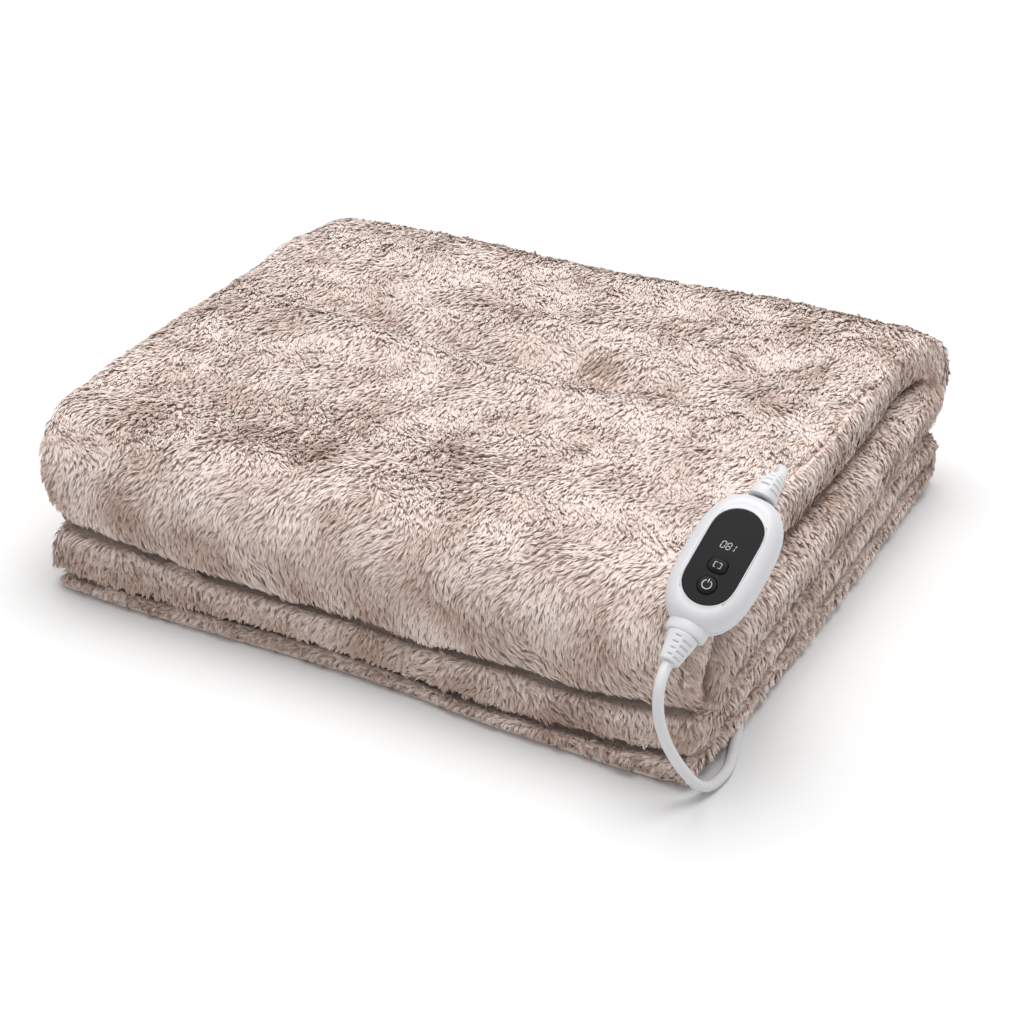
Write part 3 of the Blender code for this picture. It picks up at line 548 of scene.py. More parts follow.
def section(x, steps=1):
    """The folded cloth cut across X: (layer, face a, face b) from the front hem of the bottom
    layer to the hem of the front flap."""
    h = GAP / 2
    front = FRONT_Y + place(x, "front")
    low = place(x, "flap_low")
    line = gap_one(x, front)
    lower_back = LOWER_BACK_Y + place(x, "back")
    upper_back = UPPER_BACK_Y + place(x, "back")
    pairs = []

    def run(layer, y0, y1, n, face_a, face_b):
        for i in range(n * steps + 1):
            y = mix(y0, y1, i / (n * steps))
            pairs.append((layer, (y, face_a(x, y)), (y, face_b(x, y))))

    def turn(layers, y, z, a0, a1, n, reach_a, reach_b):
        for i in range(1, n * steps):
            t = i / (n * steps)
            angle = math.radians(mix(a0, a1, t))
            c, s = math.cos(angle), math.sin(angle)
            ra, rb = mix(*reach_a, t), mix(*reach_b, t)
            name = layers[0] if t < 0.5 else layers[1]
            pairs.append((name, (y + ra * c, z + ra * s), (y + rb * c, z + rb * s)))

    hem = front + 0.0005 - 0.0032 * smooth((x - 0.020) / 0.100)
    for d, f in ((0.0, 0.40), (0.0006, 0.66), (0.0018, 0.86), (0.0048, 0.97)):
        mid = (line - h) / 2
        pairs.append(("bottom", (hem + d, mid - mid * f), (hem + d, mid + mid * f)))
    run("bottom", hem + 0.012, lower_back, 5, lambda x, y: 0.0, lambda x, y: gap_one(x, y) - h)
    z1, z2 = gap_one(x, lower_back), gap_two(x, lower_back)
    turn(("bottom", "second"), lower_back, z1, -90, 90, 6, (z1, z2 - h - z1), (h, h))
    run("second", lower_back, FRONT_FOLD_Y, 5,
        lambda x, y: gap_two(x, y) - h, lambda x, y: gap_one(x, y) + h)
    inner_y, inner_z = FRONT_FOLD_Y, gap_two(x, FRONT_FOLD_Y)
    third_low = gap_three(x, FRONT_FOLD_Y) - h
    back_of_flap = front + FLAP_THICK + 0.0022
    fold = np.array((
        (front + 0.0285, line + h),
        (front + 0.0064, line + h + 0.0002),
        (front + 0.0010, line + h + 0.0034),
        (front + 0.0000, mix(line, low, 0.52)),
        (front + 0.0024, low - 0.0044),
        (front + 0.0100, low - 0.0010),
        (back_of_flap - 0.0010, low - 0.0010),
        (back_of_flap + 0.0012, low + 0.0100),
        (back_of_flap + 0.0030, third_low - 0.0140),
        (back_of_flap + 0.0105, third_low - 0.0035),
        (back_of_flap + 0.0190, third_low),
    ))
    fine = (len(fold) - 1) * steps + 1
    share = np.linspace(0, 1, fine)
    rows = catmull(np.column_stack([fold, np.zeros(len(fold))]), share)[:, :2]
    for i, outer in enumerate(rows):
        angle = math.radians(-90 - 180 * (i + 1) / (fine + 1))
        inner = (inner_y + h * math.cos(angle), inner_z + h * math.sin(angle))
        pairs.append(("second" if i < 5.5 * steps else "third", inner, tuple(outer)))
    run("third", FRONT_FOLD_Y + 0.0085, upper_back, 5,
        lambda x, y: gap_two(x, y) + h, lambda x, y: gap_three(x, y) - h)
    z2, z3, z4 = gap_two(x, upper_back), gap_three(x, upper_back), top_face(x, upper_back)
    turn(("third", "top"), upper_back, z3, -90, 90, 8, (z3 - h - z2, z4 - z3), (h, h))
    run("top", upper_back, SHOULDER_Y, 12,
        lambda x, y: top_face(x, y), lambda x, y: gap_three(x, y) + h)
    top, under = top_face(x, SHOULDER_Y), gap_three(x, SHOULDER_Y) + h
    for i in range(1, 7 * steps):
        a = math.radians(90 * i / (7 * steps))
        outer = (SHOULDER_Y - (SHOULDER_Y - front) * math.sin(a) ** 0.92,
                 SHOULDER_Z + (top - SHOULDER_Z) * math.cos(a) ** 0.92)
        inner = (SHOULDER_Y - (SHOULDER_Y - front - FLAP_THICK) * math.sin(a) ** 0.62,
                 SHOULDER_Z + (under - SHOULDER_Z) * math.cos(a) ** 0.62)
        pairs.append(("top" if i < 4 * steps else "flap", outer, inner))
    for d, inset in ((SHOULDER_Z - low, 0.0), (mix(0.0100, SHOULDER_Z - low, 0.5), 0.0003), (0.0100, 0.0011), (0.0075, 0.0020),
                     (0.0045, 0.0035), (0.0026, 0.0052), (0.0014, 0.0068)):
        pairs.append(("flap", (front + inset, low + d), (front + FLAP_THICK - inset, low + d)))
    return pairs


def ends_of(layer, y, z):
    left, right = ENDS[layer]
    if layer == "top":
        left -= TOP_FLARE * (1 - math.exp(min(FRONT_Y - y, 0.0) / 0.12))
        left += 0.012 * smooth((y - 0.165) / 0.05)
        right -= 0.008 * smooth((y - 0.110) / 0.045)
        right += 0.019 * smooth((y - 0.168) / 0.022)
        right += 0.006 * smooth((-0.090 - y) / 0.060)
    if layer in ("bottom", "second"):
        right -= 0.006 * smooth((-0.200 - y) / 0.014)
        left += 0.005 * smooth((-0.195 - y) / 0.020)
        left -= 0.012 * smooth((y + 0.1) / 0.3)
    if layer == "bottom":
        left += 0.010 * smooth((-0.140 - y) / 0.050)
    if layer == "second":
        left -= 0.017 * smooth((-0.140 - y) / 0.050)
        left += 0.020 * smooth((z - 0.018) / 0.0225) * smooth((-0.120 - y) / 0.050)
    if layer == "third":
        left += 0.009 * smooth((-0.140 - y) / 0.050)
        left += 0.022 * smooth((-0.150 - y) / 0.040)
    if layer == "flap":
        left += 0.023 * smooth((0.082 - z) / 0.040)
        right -= 0.003 * smooth((0.056 - z) / 0.012)
    return left, right


END_STEPS = ((0.0, 0.20), (0.02, 0.36), (0.07, 0.54), (0.15, 0.68), (0.26, 0.80), (0.42, 0.89),
             (0.62, 0.95), (0.82, 0.985), (1.0, 1.0))
MIDDLE = 68
STEPS = 3


def cloth_grid():
    """Rings of points of the cloth's two faces, from its left end to its right end."""
    rows = [(0.0, d * END_ROUND, 0.0, f) for d, f in END_STEPS]
    rows += [((i + 1) / (MIDDLE + 1), None, None, 1.0) for i in range(MIDDLE)]
    rows += [(1.0, 0.0, d * END_ROUND, f) for d, f in reversed(END_STEPS)]
    rings = []
    for share, from_left, from_right, thick in rows:
        pairs = section(mix(ENDS["second"][0], ENDS["second"][1], share), STEPS)
        ends = np.array([ends_of(name, (a[0] + b[0]) / 2, (a[1] + b[1]) / 2) for name, a, b in pairs])
        for _ in range(16):
            padded = np.vstack([ends[:1], ends, ends[-1:]])
            ends = 0.25 * padded[:-2] + 0.5 * padded[1:-1] + 0.25 * padded[2:]
        lo, hi = ends[:, 0] + END_ROUND, ends[:, 1] - END_ROUND
        if from_left is None:
            x = lo + (hi - lo) * share
        elif share == 0.0:
            x = ends[:, 0] + from_left
        else:
            x = ends[:, 1] - from_right
        a = np.array([p for _, p, _ in pairs])
        b = np.array([p for _, _, p in pairs])
        mid = (a + b) / 2
        a, b = mid + (a - mid) * thick, mid + (b - mid) * thick
        out = np.maximum(DROOP_FROM - x, 0.0) / 0.030
        sink = -DROOP * out * out
        rings.append(np.vstack([np.column_stack([x, a[:, 0], a[:, 1] + sink]),
                                np.column_stack([x, b[:, 0], b[:, 1] + sink])[::-1]]))
    return np.array(rings) + SHIFT


rings = cloth_grid()
RINGS, AROUND = rings.shape[:2]
COUNT = AROUND // 2


def grid_faces():
    quads = []
    for r in range(RINGS - 1):
        i = np.arange(AROUND)
        j = (i + 1) % AROUND
        quads.append(np.column_stack([r * AROUND + i, r * AROUND + j, (r + 1) * AROUND + j,
                                      (r + 1) * AROUND + i]))
    i = np.arange(COUNT - 1)
    left = np.column_stack([i, i + 1, AROUND - 2 - i, AROUND - 1 - i])[:, ::-1]
    last = (RINGS - 1) * AROUND
    return np.vstack(quads + [left, left[:, ::-1] + last])


outer_mesh = mesh_from("outer", rings.reshape(-1, 3), grid_faces())
bm = bmesh.new()
bm.from_mesh(outer_mesh)
bmesh.ops.recalc_face_normals(bm, faces=bm.faces)
bm.normal_update()
outer_normals = np.array([v.normal[:] for v in bm.verts])
FACES = np.array([[v.index for v in f.verts] for f in bm.faces])
cloth_tree = BVHTree.FromBMesh(bm)
bm.free()
bpy.data.meshes.remove(outer_mesh)
outer_points = rings.reshape(-1, 3)


def seen_share(points, normals, reach=0.060, rays=14, seed=5):
    """Share of each point's hemisphere that the cloth leaves open."""
    rng = np.random.default_rng(seed)
    way = unit(rng.normal(size=(rays, 3)))
    open_share = np.zeros(len(points))
    for k, (p, n) in enumerate(zip(points, normals)):
        free = total = 0.0
        base = Vector(p + 0.0006 * n)
        for w in way:
            d = w + 1.15 * n
            d /= math.sqrt(d @ d)
            weight = max(float(d @ n), 0.05)
            total += weight
            if d[2] < 0 and base[2] + reach * d[2] < 0:
                far = base[2] / -d[2]
            else:
                far = reach
            if cloth_tree.ray_cast(base, Vector(d), min(far, reach))[0] is None:
                free += weight
        open_share[k] = free / total
    return open_share


vertex_open = seen_share(outer_points, outer_normals)
is_bottom = (outer_normals[:, 2] < -0.8) & (outer_points[:, 2] < 0.004)
exposed = smooth_np((vertex_open - 0.03) / 0.36)
exposed[is_bottom] = 0.0
inset = np.interp(vertex_open, (0.0, 0.02, 0.06, 0.22, 0.55), (0.0052, 0.0038, 0.0008, 0.0008, 0.0034))
inset[is_bottom] = 0.0006
ground_points = outer_points - outer_normals * inset[:, None]
ground_points += outer_normals * (0.0005 * waves(outer_points, 0.018, 31))[:, None] * exposed[:, None]
ground_points[:, 2] = np.maximum(ground_points[:, 2], 0.0004)

# the seam along the right edge, and the hollow that the controller presses
SEAM = np.array((
    #  y       x
    (-0.2500, 0.2130),
    (-0.1500, 0.2110),
    (-0.0600, 0.2010),
    (-0.0270, 0.2045),
    (0.0050, 0.2075),
    (0.0330, 0.2075),
    (0.0570, 0.2030),
    (0.0740, 0.2035),
    (0.0910, 0.2060),
    (0.1130, 0.2100),
    (0.1500, 0.2110),
))


def beyond_seam(points):
    """How far points of the plan lie to the right of the seam, and how much of it is there."""
    past = points[:, 0] - np.interp(points[:, 1], SEAM[:, 0], SEAM[:, 1])
    there = smooth_np((points[:, 2] - 0.060) / 0.010) * smooth_np((0.150 - points[:, 1]) / 0.030)
    return past, there


plan = outer_points - SHIFT
past, there = beyond_seam(plan)
on_seam = np.exp(-((past / 0.0022) ** 2)) * exposed * there * (outer_normals[:, 0] < 0.75)
ground_points -= outer_normals * (0.0036 * on_seam)[:, None]


def clear_of_housing(points, margin):
    """Points moved down, out of the controller's housing, in its own frame."""
    q = in_held(points)
    across = np.abs(q[:, 0] / (BODY_W / 2 + margin)) ** 2.8 + np.abs(q[:, 1] / (BODY_L / 2 + margin)) ** 2.8
    across = across ** (1 / 2.5)
    under = -BODY_T - margin
    limit = np.where(across < 0.86, under, under + np.clip((across - 0.86) / 0.16, 0, 1) ** 2 * 0.012)
    limit = np.where(across > 1.02, 1.0, limit)
    near = (q[:, 2] < 0.02) & (q[:, 2] > -0.05)
    q[:, 2] = np.where(near, np.minimum(q[:, 2], limit), q[:, 2])
    return q @ HELD_NP[:3, :3].T + HELD_NP[:3, 3]


ground_points = clear_of_housing(ground_points, 0.0012)
throw_cloth = new_object("throw_cloth", mesh_from("throw_cloth", ground_points, FACES), GROUND)
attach(throw_cloth, BODY)
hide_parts("blanket")

# ------------------------------------------------------------------ pile
STRANDS = 272000
PER_CLUMP = 4
# Rougher patches, where the pile stands up and shows dark gaps, darkened further by painted shade: x, y, z,
# radius, amount.
ROUGH = (
    (-0.062, 0.087, 0.112, 0.034, 0.9),
    (0.095, 0.133, 0.112, 0.030, 0.8),
    (0.155, 0.174, 0.110, 0.028, 0.8),
    (-0.094, -0.130, 0.110, 0.050, 0.9),
    (0.016, -0.128, 0.110, 0.050, 0.9),
    (-0.165, -0.160, 0.105, 0.050, 0.8),
    (-0.225, 0.020, 0.108, 0.034, 0.6),
    (0.090, -0.180, 0.095, 0.036, 0.5),
    (-0.020, 0.030, 0.112, 0.020, 0.5),
)


def clear_rows(points, line, radius):
    """Which points lie nearer than radius to a line of points."""
    line = np.asarray(line)
    low, high = line.min(0) - radius, line.max(0) + radius
    inside = np.all((points > low) & (points < high), axis=1)
    hit = np.zeros(len(points), bool)
    where = np.nonzero(inside)[0]
    for part in np.array_split(where, max(1, len(where) // 20000)):
        if len(part):
            d = np.linalg.norm(points[part][:, None] - line[None], axis=2).min(1)
            hit[part] = d < radius
    return hit


def pile():
    rng = np.random.default_rng(2024)
    tri = np.vstack([FACES[:, [0, 1, 2]], FACES[:, [0, 2, 3]]])
    order = np.argsort(np.concatenate([np.arange(len(FACES))] * 2), kind="stable")
    tri = tri[order]
    a, b, c = (outer_points[tri[:, k]] for k in range(3))
    area = 0.5 * np.linalg.norm(np.cross(b - a, c - a), axis=1)
    e = exposed[tri].mean(1)
    n_mean = outer_normals[tri].mean(1)
    weight = area * np.where(e > 0.015, 0.62 + 0.38 * e, 0.0)
    hidden = (n_mean[:, 1] > 0.4) | (n_mean[:, 0] < -0.5)
    weight *= np.where(hidden, 0.72, 1.0)
    weight[(n_mean[:, 2] < -0.80) & (a[:, 2] < 0.012)] = 0.0
    total = np.concatenate([[0], np.cumsum(weight)])
    clumps = STRANDS // PER_CLUMP
    at = (np.arange(clumps) + rng.uniform(0, 1, clumps)) / clumps * total[-1]
    pick = np.clip(np.searchsorted(total, at) - 1, 0, len(tri) - 1)
    u, v = rng.uniform(0, 1, (2, clumps, 1))
    u, v = np.where(u + v > 1, 1 - u, u), np.where(u + v > 1, 1 - v, v)

    def across(field):
        x, y, z = (field[tri[pick, k]] for k in range(3))
        return x + u * (y - x) + v * (z - x)

    p = across(ground_points)
    skin = across(outer_points)
    n = unit(across(outer_normals))
    open_here = across(exposed[:, None])[:, 0]
    plan = skin - SHIFT

    # the nap runs towards the front and down, and over the ends
    d = np.column_stack([np.zeros(clumps), -n[:, 2], n[:, 1]])
    over = smooth_np((np.abs(n[:, 0]) - 0.35) / 0.45)[:, None]
    down = np.column_stack([np.zeros(clumps), -0.25 * np.ones(clumps), -np.ones(clumps)])
    d = d * (1 - over) + down * over
    past, there = beyond_seam(plan)
    past_seam = (smooth_np(past / 0.004) * there)[:, None]
    d = d * (1 - 0.75 * past_seam) + past_seam * np.array((1.0, -0.25, -0.6))
    left_end = (smooth_np((-0.215 - plan[:, 0]) / 0.04) * smooth_np((plan[:, 2] - 0.030) / 0.07))[:, None]
    d = d + left_end * np.array((-0.6, 0.0, -0.2))
    d -= (d * n).sum(1, keepdims=True) * n
    d = unit(d)
    rough = 0.35 * np.clip(waves(skin, 0.030, 3) - 0.3, 0, 1)
    for x, y, z, radius, amount in ROUGH:
        far = np.linalg.norm(plan - np.array((x, y, z)), axis=1) / radius
        rough = np.maximum(rough, (0.62 - 0.34 * (z > 0.111)) * amount * smooth_np((1.6 - far) / 1.2))
    lower = smooth_np((0.050 - plan[:, 2]) / 0.012) * (1 - over[:, 0])
    rough = np.maximum(rough, 0.55 * lower)
    swirl = (0.55 + 0.45 * rough) * (0.75 * waves(skin, 0.060, 7) + 0.42 * waves(skin, 0.021, 8))
    low = smooth_np((0.013 - plan[:, 2]) / 0.010)
    swirl = swirl * (1 - 0.5 * past_seam[:, 0]) + rng.normal(0, 1, clumps) * (0.13 + 0.30 * rough + 0.9 * low)
    s = np.cross(n, d)
    d = d * np.cos(swirl)[:, None] + s * np.sin(swirl)[:, None]
    s = np.cross(n, d)
    lift = np.radians(7.5 + 19 * rough + 4 * waves(skin, 0.012, 9) + rng.normal(0, 2.5, clumps))
    lift = np.clip(lift, math.radians(6), math.radians(60))
    far_seam = np.exp(-((past / 0.0026) ** 2)) * there * (n[:, 0] < 0.8)
    length = (0.0067 + 0.0009 * waves(skin, 0.009, 10) + rng.normal(0, 0.0006, clumps))
    hem = smooth_np((0.062 - plan[:, 2]) / 0.014) * smooth_np((plan[:, 2] - 0.040) / 0.003) * (n[:, 1] < -0.2)
    length *= 1 + 0.45 * hem
    length *= (1 - 0.34 * far_seam) * (0.75 + 0.25 * open_here)
    low = smooth_np((0.017 - plan[:, 2]) / 0.012)
    length = np.clip(length * (1 - 0.30 * low), 0.0032, 0.0100)
    lift = lift * (1 - 0.35 * low)
    tip_at = p + length[:, None] * (np.cos(lift)[:, None] * d + np.sin(lift)[:, None] * n)
    # random tone; the rough patches are painted darker, painted shade of their gaps
    tone_and_shade = 0.56 + 0.16 * waves(skin, 0.045, 11) + rng.normal(0, 0.07, clumps) - 0.24 * rough
    # painted shade: the pile is darker on the sides, the more the cloth faces away from up, and darker along the
    # seam's groove
    tone_and_shade -= 0.30 * far_seam + 0.26 * (1 - np.clip(n[:, 2], 0, 1))

    # painted highlight on the crease ridges and painted shade in the troughs, on the top only
    tone_and_shade += 55 * crease_field(plan[:, 0], plan[:, 1]) * smooth_np((plan[:, 2] - 0.090) / 0.010)

    k = PER_CLUMP
    p, n, d, s, tip_at = (np.repeat(f, k, axis=0) for f in (p, n, d, s, tip_at))
    length, tone_and_shade, lift = (np.repeat(f, k) for f in (length, tone_and_shade, lift))
    count = len(p)
    r = 0.0015 * np.sqrt(rng.uniform(0, 1, count))
    turn = rng.uniform(0, 2 * math.pi, count)
    off = (r * np.cos(turn))[:, None] * d + (r * np.sin(turn))[:, None] * s
    root = p + off
    tip = tip_at + 0.45 * off + rng.normal(0, 0.00035, (count, 3))
    reach = tip - root
    middle = root + 0.52 * reach + n * (0.12 * length * np.cos(lift))[:, None]
    along = unit(reach)
    side = unit(np.cross(along, n))
    up = np.cross(side, along)
    roll = rng.normal(0, 0.28, count)
    side = side * np.cos(roll)[:, None] + up * np.sin(roll)[:, None]
    width = rng.uniform(0.00072, 0.00110, count)[:, None]
    w0, w1 = 0.40 * width, 0.50 * width
    verts = np.stack([root - side * w0, root + side * w0, middle - side * w1, middle + side * w1, tip], 1)
    tone_and_shade = np.clip(tone_and_shade + rng.normal(0, 0.05, count), 0, 1)

    # strands that would run into the hard pieces, or into the floor, are left out
    flat = verts.reshape(-1, 3)
    flat[:, 2] = np.maximum(flat[:, 2], 0.0005 + rng.uniform(0, 0.0006, len(flat)))
    q = in_held(flat)
    oval = (np.abs(q[:, 0] / (BODY_W / 2)) ** 2.8 + np.abs(q[:, 1] / (BODY_L / 2)) ** 2.8) ** (1 / 2.8)
    edge = np.clip((oval - 0.62) / 0.38, 0, 1)
    bad = (oval < 1.005) & (q[:, 2] > -BODY_T + 0.009 * (1 - np.sqrt(1 - edge ** 2)) - 0.0006) & (q[:, 2] < 0.03)
    lower_line = held([(0, -half_axis - t, -BODY_T / 2) for t in np.linspace(-0.004, RELIEF_L, 12)])
    bad |= clear_rows(flat, lower_line, 0.0088)
    for (x0, y0, z0, r0), (x1, y1, z1, r1) in zip(UPPER_SLEEVE, UPPER_SLEEVE[1:]):
        line = held([(mix(x0, x1, t), mix(y0, y1, t), mix(z0, z1, t)) for t in np.linspace(0, 1, 6)])
        bad |= clear_rows(flat, line, max(r0, r1) - 0.0004)
    near_cord = cord_line[(cord_line[:, 1] < -0.15) & (cord_line[:, 0] > 0.2)]
    bad |= clear_rows(flat, near_cord, CORD_R + 0.0004)
    bad |= clear_rows(flat, LEAD_LINE[:18], CORD_R + 0.0002)
    keep = ~bad.reshape(-1, 5).any(1)
    blade = np.cross(side, along)
    blade = np.where(((blade * n).sum(1) < 0)[:, None], -blade, blade)
    far_side = smooth_np((n[:, 1] - 0.05) / 0.4)[:, None]
    soft = 0.95 * unit(n + far_side * np.array((0.0, -0.35, 0.5))) + 0.10 * blade
    normals = np.stack([soft - 0.15 * side, soft + 0.15 * side, soft - 0.15 * side, soft + 0.15 * side,
                        soft + 0.10 * along], 1)
    return verts[keep], tone_and_shade[keep], n[keep], p[keep], unit(normals)[keep]


LEAD_ROUTE = (
    (0.2235, -0.1080, 0.1488),
    (0.2175, -0.0930, 0.1420),
    (0.2105, -0.0780, 0.1310),
    (0.2040, -0.0650, 0.1195),
    (0.1985, -0.0530, 0.1090),
    (0.1945, -0.0440, 0.1000),
)
sleeve_end, sleeve_before = (np.array(row[:3]) for row in (UPPER_SLEEVE[-1], UPPER_SLEEVE[-2]))
sleeve_way = unit(sleeve_end - sleeve_before)
lead = [held(sleeve_end - 0.0010 * sleeve_way), held(sleeve_end + 0.0040 * sleeve_way)]
lead += [np.array(p) + SHIFT for p in LEAD_ROUTE]
LEAD_LINE = even(catmull(lead, np.linspace(0, 1, 200)), 0.0025)
throw_lead = tube_curve("throw_lead", LEAD_LINE, CORD_R, CORD)
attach(throw_lead, BODY)
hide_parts("short_lead")

verts, tone_and_shade, ns, ps, normals = pile()
print("strands", len(verts))
AXES = {
    "top": (ns[:, 2] > 0.55),
    "right": (ns[:, 2] <= 0.55) & (ns[:, 0] > 0.60),
    "front": (ns[:, 2] <= 0.55) & (ns[:, 0] <= 0.60) & (ns[:, 1] < 0.0) & (ns[:, 0] > -0.60),
}
rest = ~(AXES["top"] | AXES["right"] | AXES["front"])
AXES["back"] = rest
for group, mask in AXES.items():
    which = np.nonzero(mask)[0]
    which = which[np.argsort(ps[which, 0], kind="stable")]
    parts = max(1, math.ceil(len(which) / 64000))
    for i, part in enumerate(np.array_split(which, parts)):
        count = len(part)
        base = (np.arange(count) * 5)[:, None]
        quads = base + np.array((0, 1, 3, 2))
        tips = base + np.array((2, 3, 4))
        name = "pile_%s_%d" % (group, i + 1)
        mesh = mesh_from(name, verts[part].reshape(-1, 3), [quads, tips])
        float_attribute(mesh, "along", np.tile((0.0, 0.0, 0.52, 0.52, 1.0), count))
        float_attribute(mesh, "tone_and_shade", np.repeat(tone_and_shade[part], 5))
        mesh.normals_split_custom_set_from_vertices(normals[part].reshape(-1, 3))
        piece = new_object(name, mesh, PILE)
        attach(piece, BODY)

# ------------------------------------------------------------------ controller
PANEL_W, PANEL_L, PANEL_T = 0.0300, 0.0615, 0.0015
BODY_EDGE, OVAL = 0.0090, 2.8


def oval_points(a, b, exponent, count):
    t = 2 * np.pi * (np.arange(count) + 0.5) / count
    c, s = np.cos(t), np.sin(t)
    return np.column_stack([a * np.sign(c) * np.abs(c) ** (2 / exponent),
                            b * np.sign(s) * np.abs(s) ** (2 / exponent)])


def even_loop(points, count):
    """A closed line resampled to even points, starting on +x."""
    closed = np.vstack([points, points[:1]])
    far = np.concatenate([[0], np.cumsum(np.linalg.norm(np.diff(closed, axis=0), axis=1))])
    goal = np.linspace(0, far[-1], count, endpoint=False)
    return np.column_stack([np.interp(goal, far, closed[:, k]) for k in (0, 1)])


def out_normals(points):
    ahead = np.roll(points, -1, axis=0) - np.roll(points, 1, axis=0)
    return unit(np.column_stack([ahead[:, 1], -ahead[:, 0]]))


def slot_points(width, length, count):
    r, straight = width / 2, (length - width) / 2
    rows = [(r, 0.0)]
    for side, start in ((1, 0.0), (-1, math.pi)):
        for i in range(41):
            t = start + math.pi * i / 40
            rows.append((r * math.cos(t), side * straight + r * math.sin(t)))
    return even_loop(np.array(rows), count)


def controller_shell():
    count = 144
    flat = even_loop(oval_points(BODY_W / 2 - BODY_EDGE, BODY_L / 2 - BODY_EDGE, OVAL, 720), count)
    out = out_normals(flat)
    slot = slot_points(PANEL_W + 2 * CLEAR, PANEL_L + 2 * CLEAR, count)
    slot_out = out_normals(slot)
    rows = []

    def add(xy, z):
        rows.append(np.column_stack([xy, np.full(count, z)]))

    for share in (0.25, 0.6, 0.9):
        add(flat * share, -BODY_T)
    for i in range(15):
        a = math.radians(90 * i / 14)
        add(flat + out * BODY_EDGE * math.sin(a), -BODY_T + BODY_EDGE * (1 - math.cos(a)))
    for deep, z in ((0.0, -0.01035), (0.00028, -0.01025), (0.00028, -0.00995), (0.0, -0.00985)):
        add(flat + out * (BODY_EDGE - deep), z)
    for i in range(15):
        a = math.radians(90 - 90 * i / 14)
        add(flat + out * BODY_EDGE * math.sin(a), -BODY_EDGE * (1 - math.cos(a)))
    for far, z in ((0.00085, 0.0), (0.00072, 0.00005), (0.00060, 0.00018), (0.00046, 0.00024),
                   (0.00024, 0.00024), (0.00010, 0.00016), (0.00003, 0.0), (0.0, -0.0008),
                   (0.0, -0.0050)):
        add(slot + slot_out * far, z)
    verts = np.vstack(rows)
    faces = []
    for i in range(len(rows) - 1):
        for j in range(count):
            k = (j + 1) % count
            faces.append((i * count + j, i * count + k, (i + 1) * count + k, (i + 1) * count + j))
    low = len(verts)
    verts = np.vstack([verts, [[0, 0, -BODY_T]], [[0, 0, -0.0050]]])
    caps = []
    last = (len(rows) - 1) * count
    for j in range(count):
        k = (j + 1) % count
        caps.append((low, k, j))
        caps.append((low + 1, last + j, last + k))

    # collar at the lower end
    ring = 64
    base = len(verts)
    collar = []
    for y, grow in ((-0.0330, 0.0), (-0.0420, 0.0), (-0.0448, -0.0001), (-0.0468, -0.0003),
                    (-0.0475, -0.0007), (-0.0477, -0.0013)):
        t = 2 * np.pi * np.arange(ring) / ring
        collar.append(np.column_stack([(0.0120 + grow) * np.cos(t), np.full(ring, y),
                                       -BODY_T / 2 + (0.0075 + grow) * np.sin(t)]))
    tip = np.array([[0.0, -0.0477, -BODY_T / 2]])
    verts = np.vstack([verts] + collar + [tip])
    for i in range(len(collar) - 1):
        for j in range(ring):
            k = (j + 1) % ring
            faces.append((base + i * ring + j, base + (i + 1) * ring + j,
                          base + (i + 1) * ring + k, base + i * ring + k))
    end = base + (len(collar) - 1) * ring
    for j in range(ring):
        caps.append((len(verts) - 1, end + j, end + (j + 1) % ring))
    mesh = mesh_from("controller_shell", held(verts), [np.array(faces), np.array(caps)])
    bm = bmesh.new()
    bm.from_mesh(mesh)
    bmesh.ops.recalc_face_normals(bm, faces=bm.faces)
    bm.to_mesh(mesh)
    bm.free()
    mesh.shade_smooth()
    return new_object("controller_shell", mesh, WHITE)


shell = controller_shell()
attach(shell, BODY)
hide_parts("controller_body")


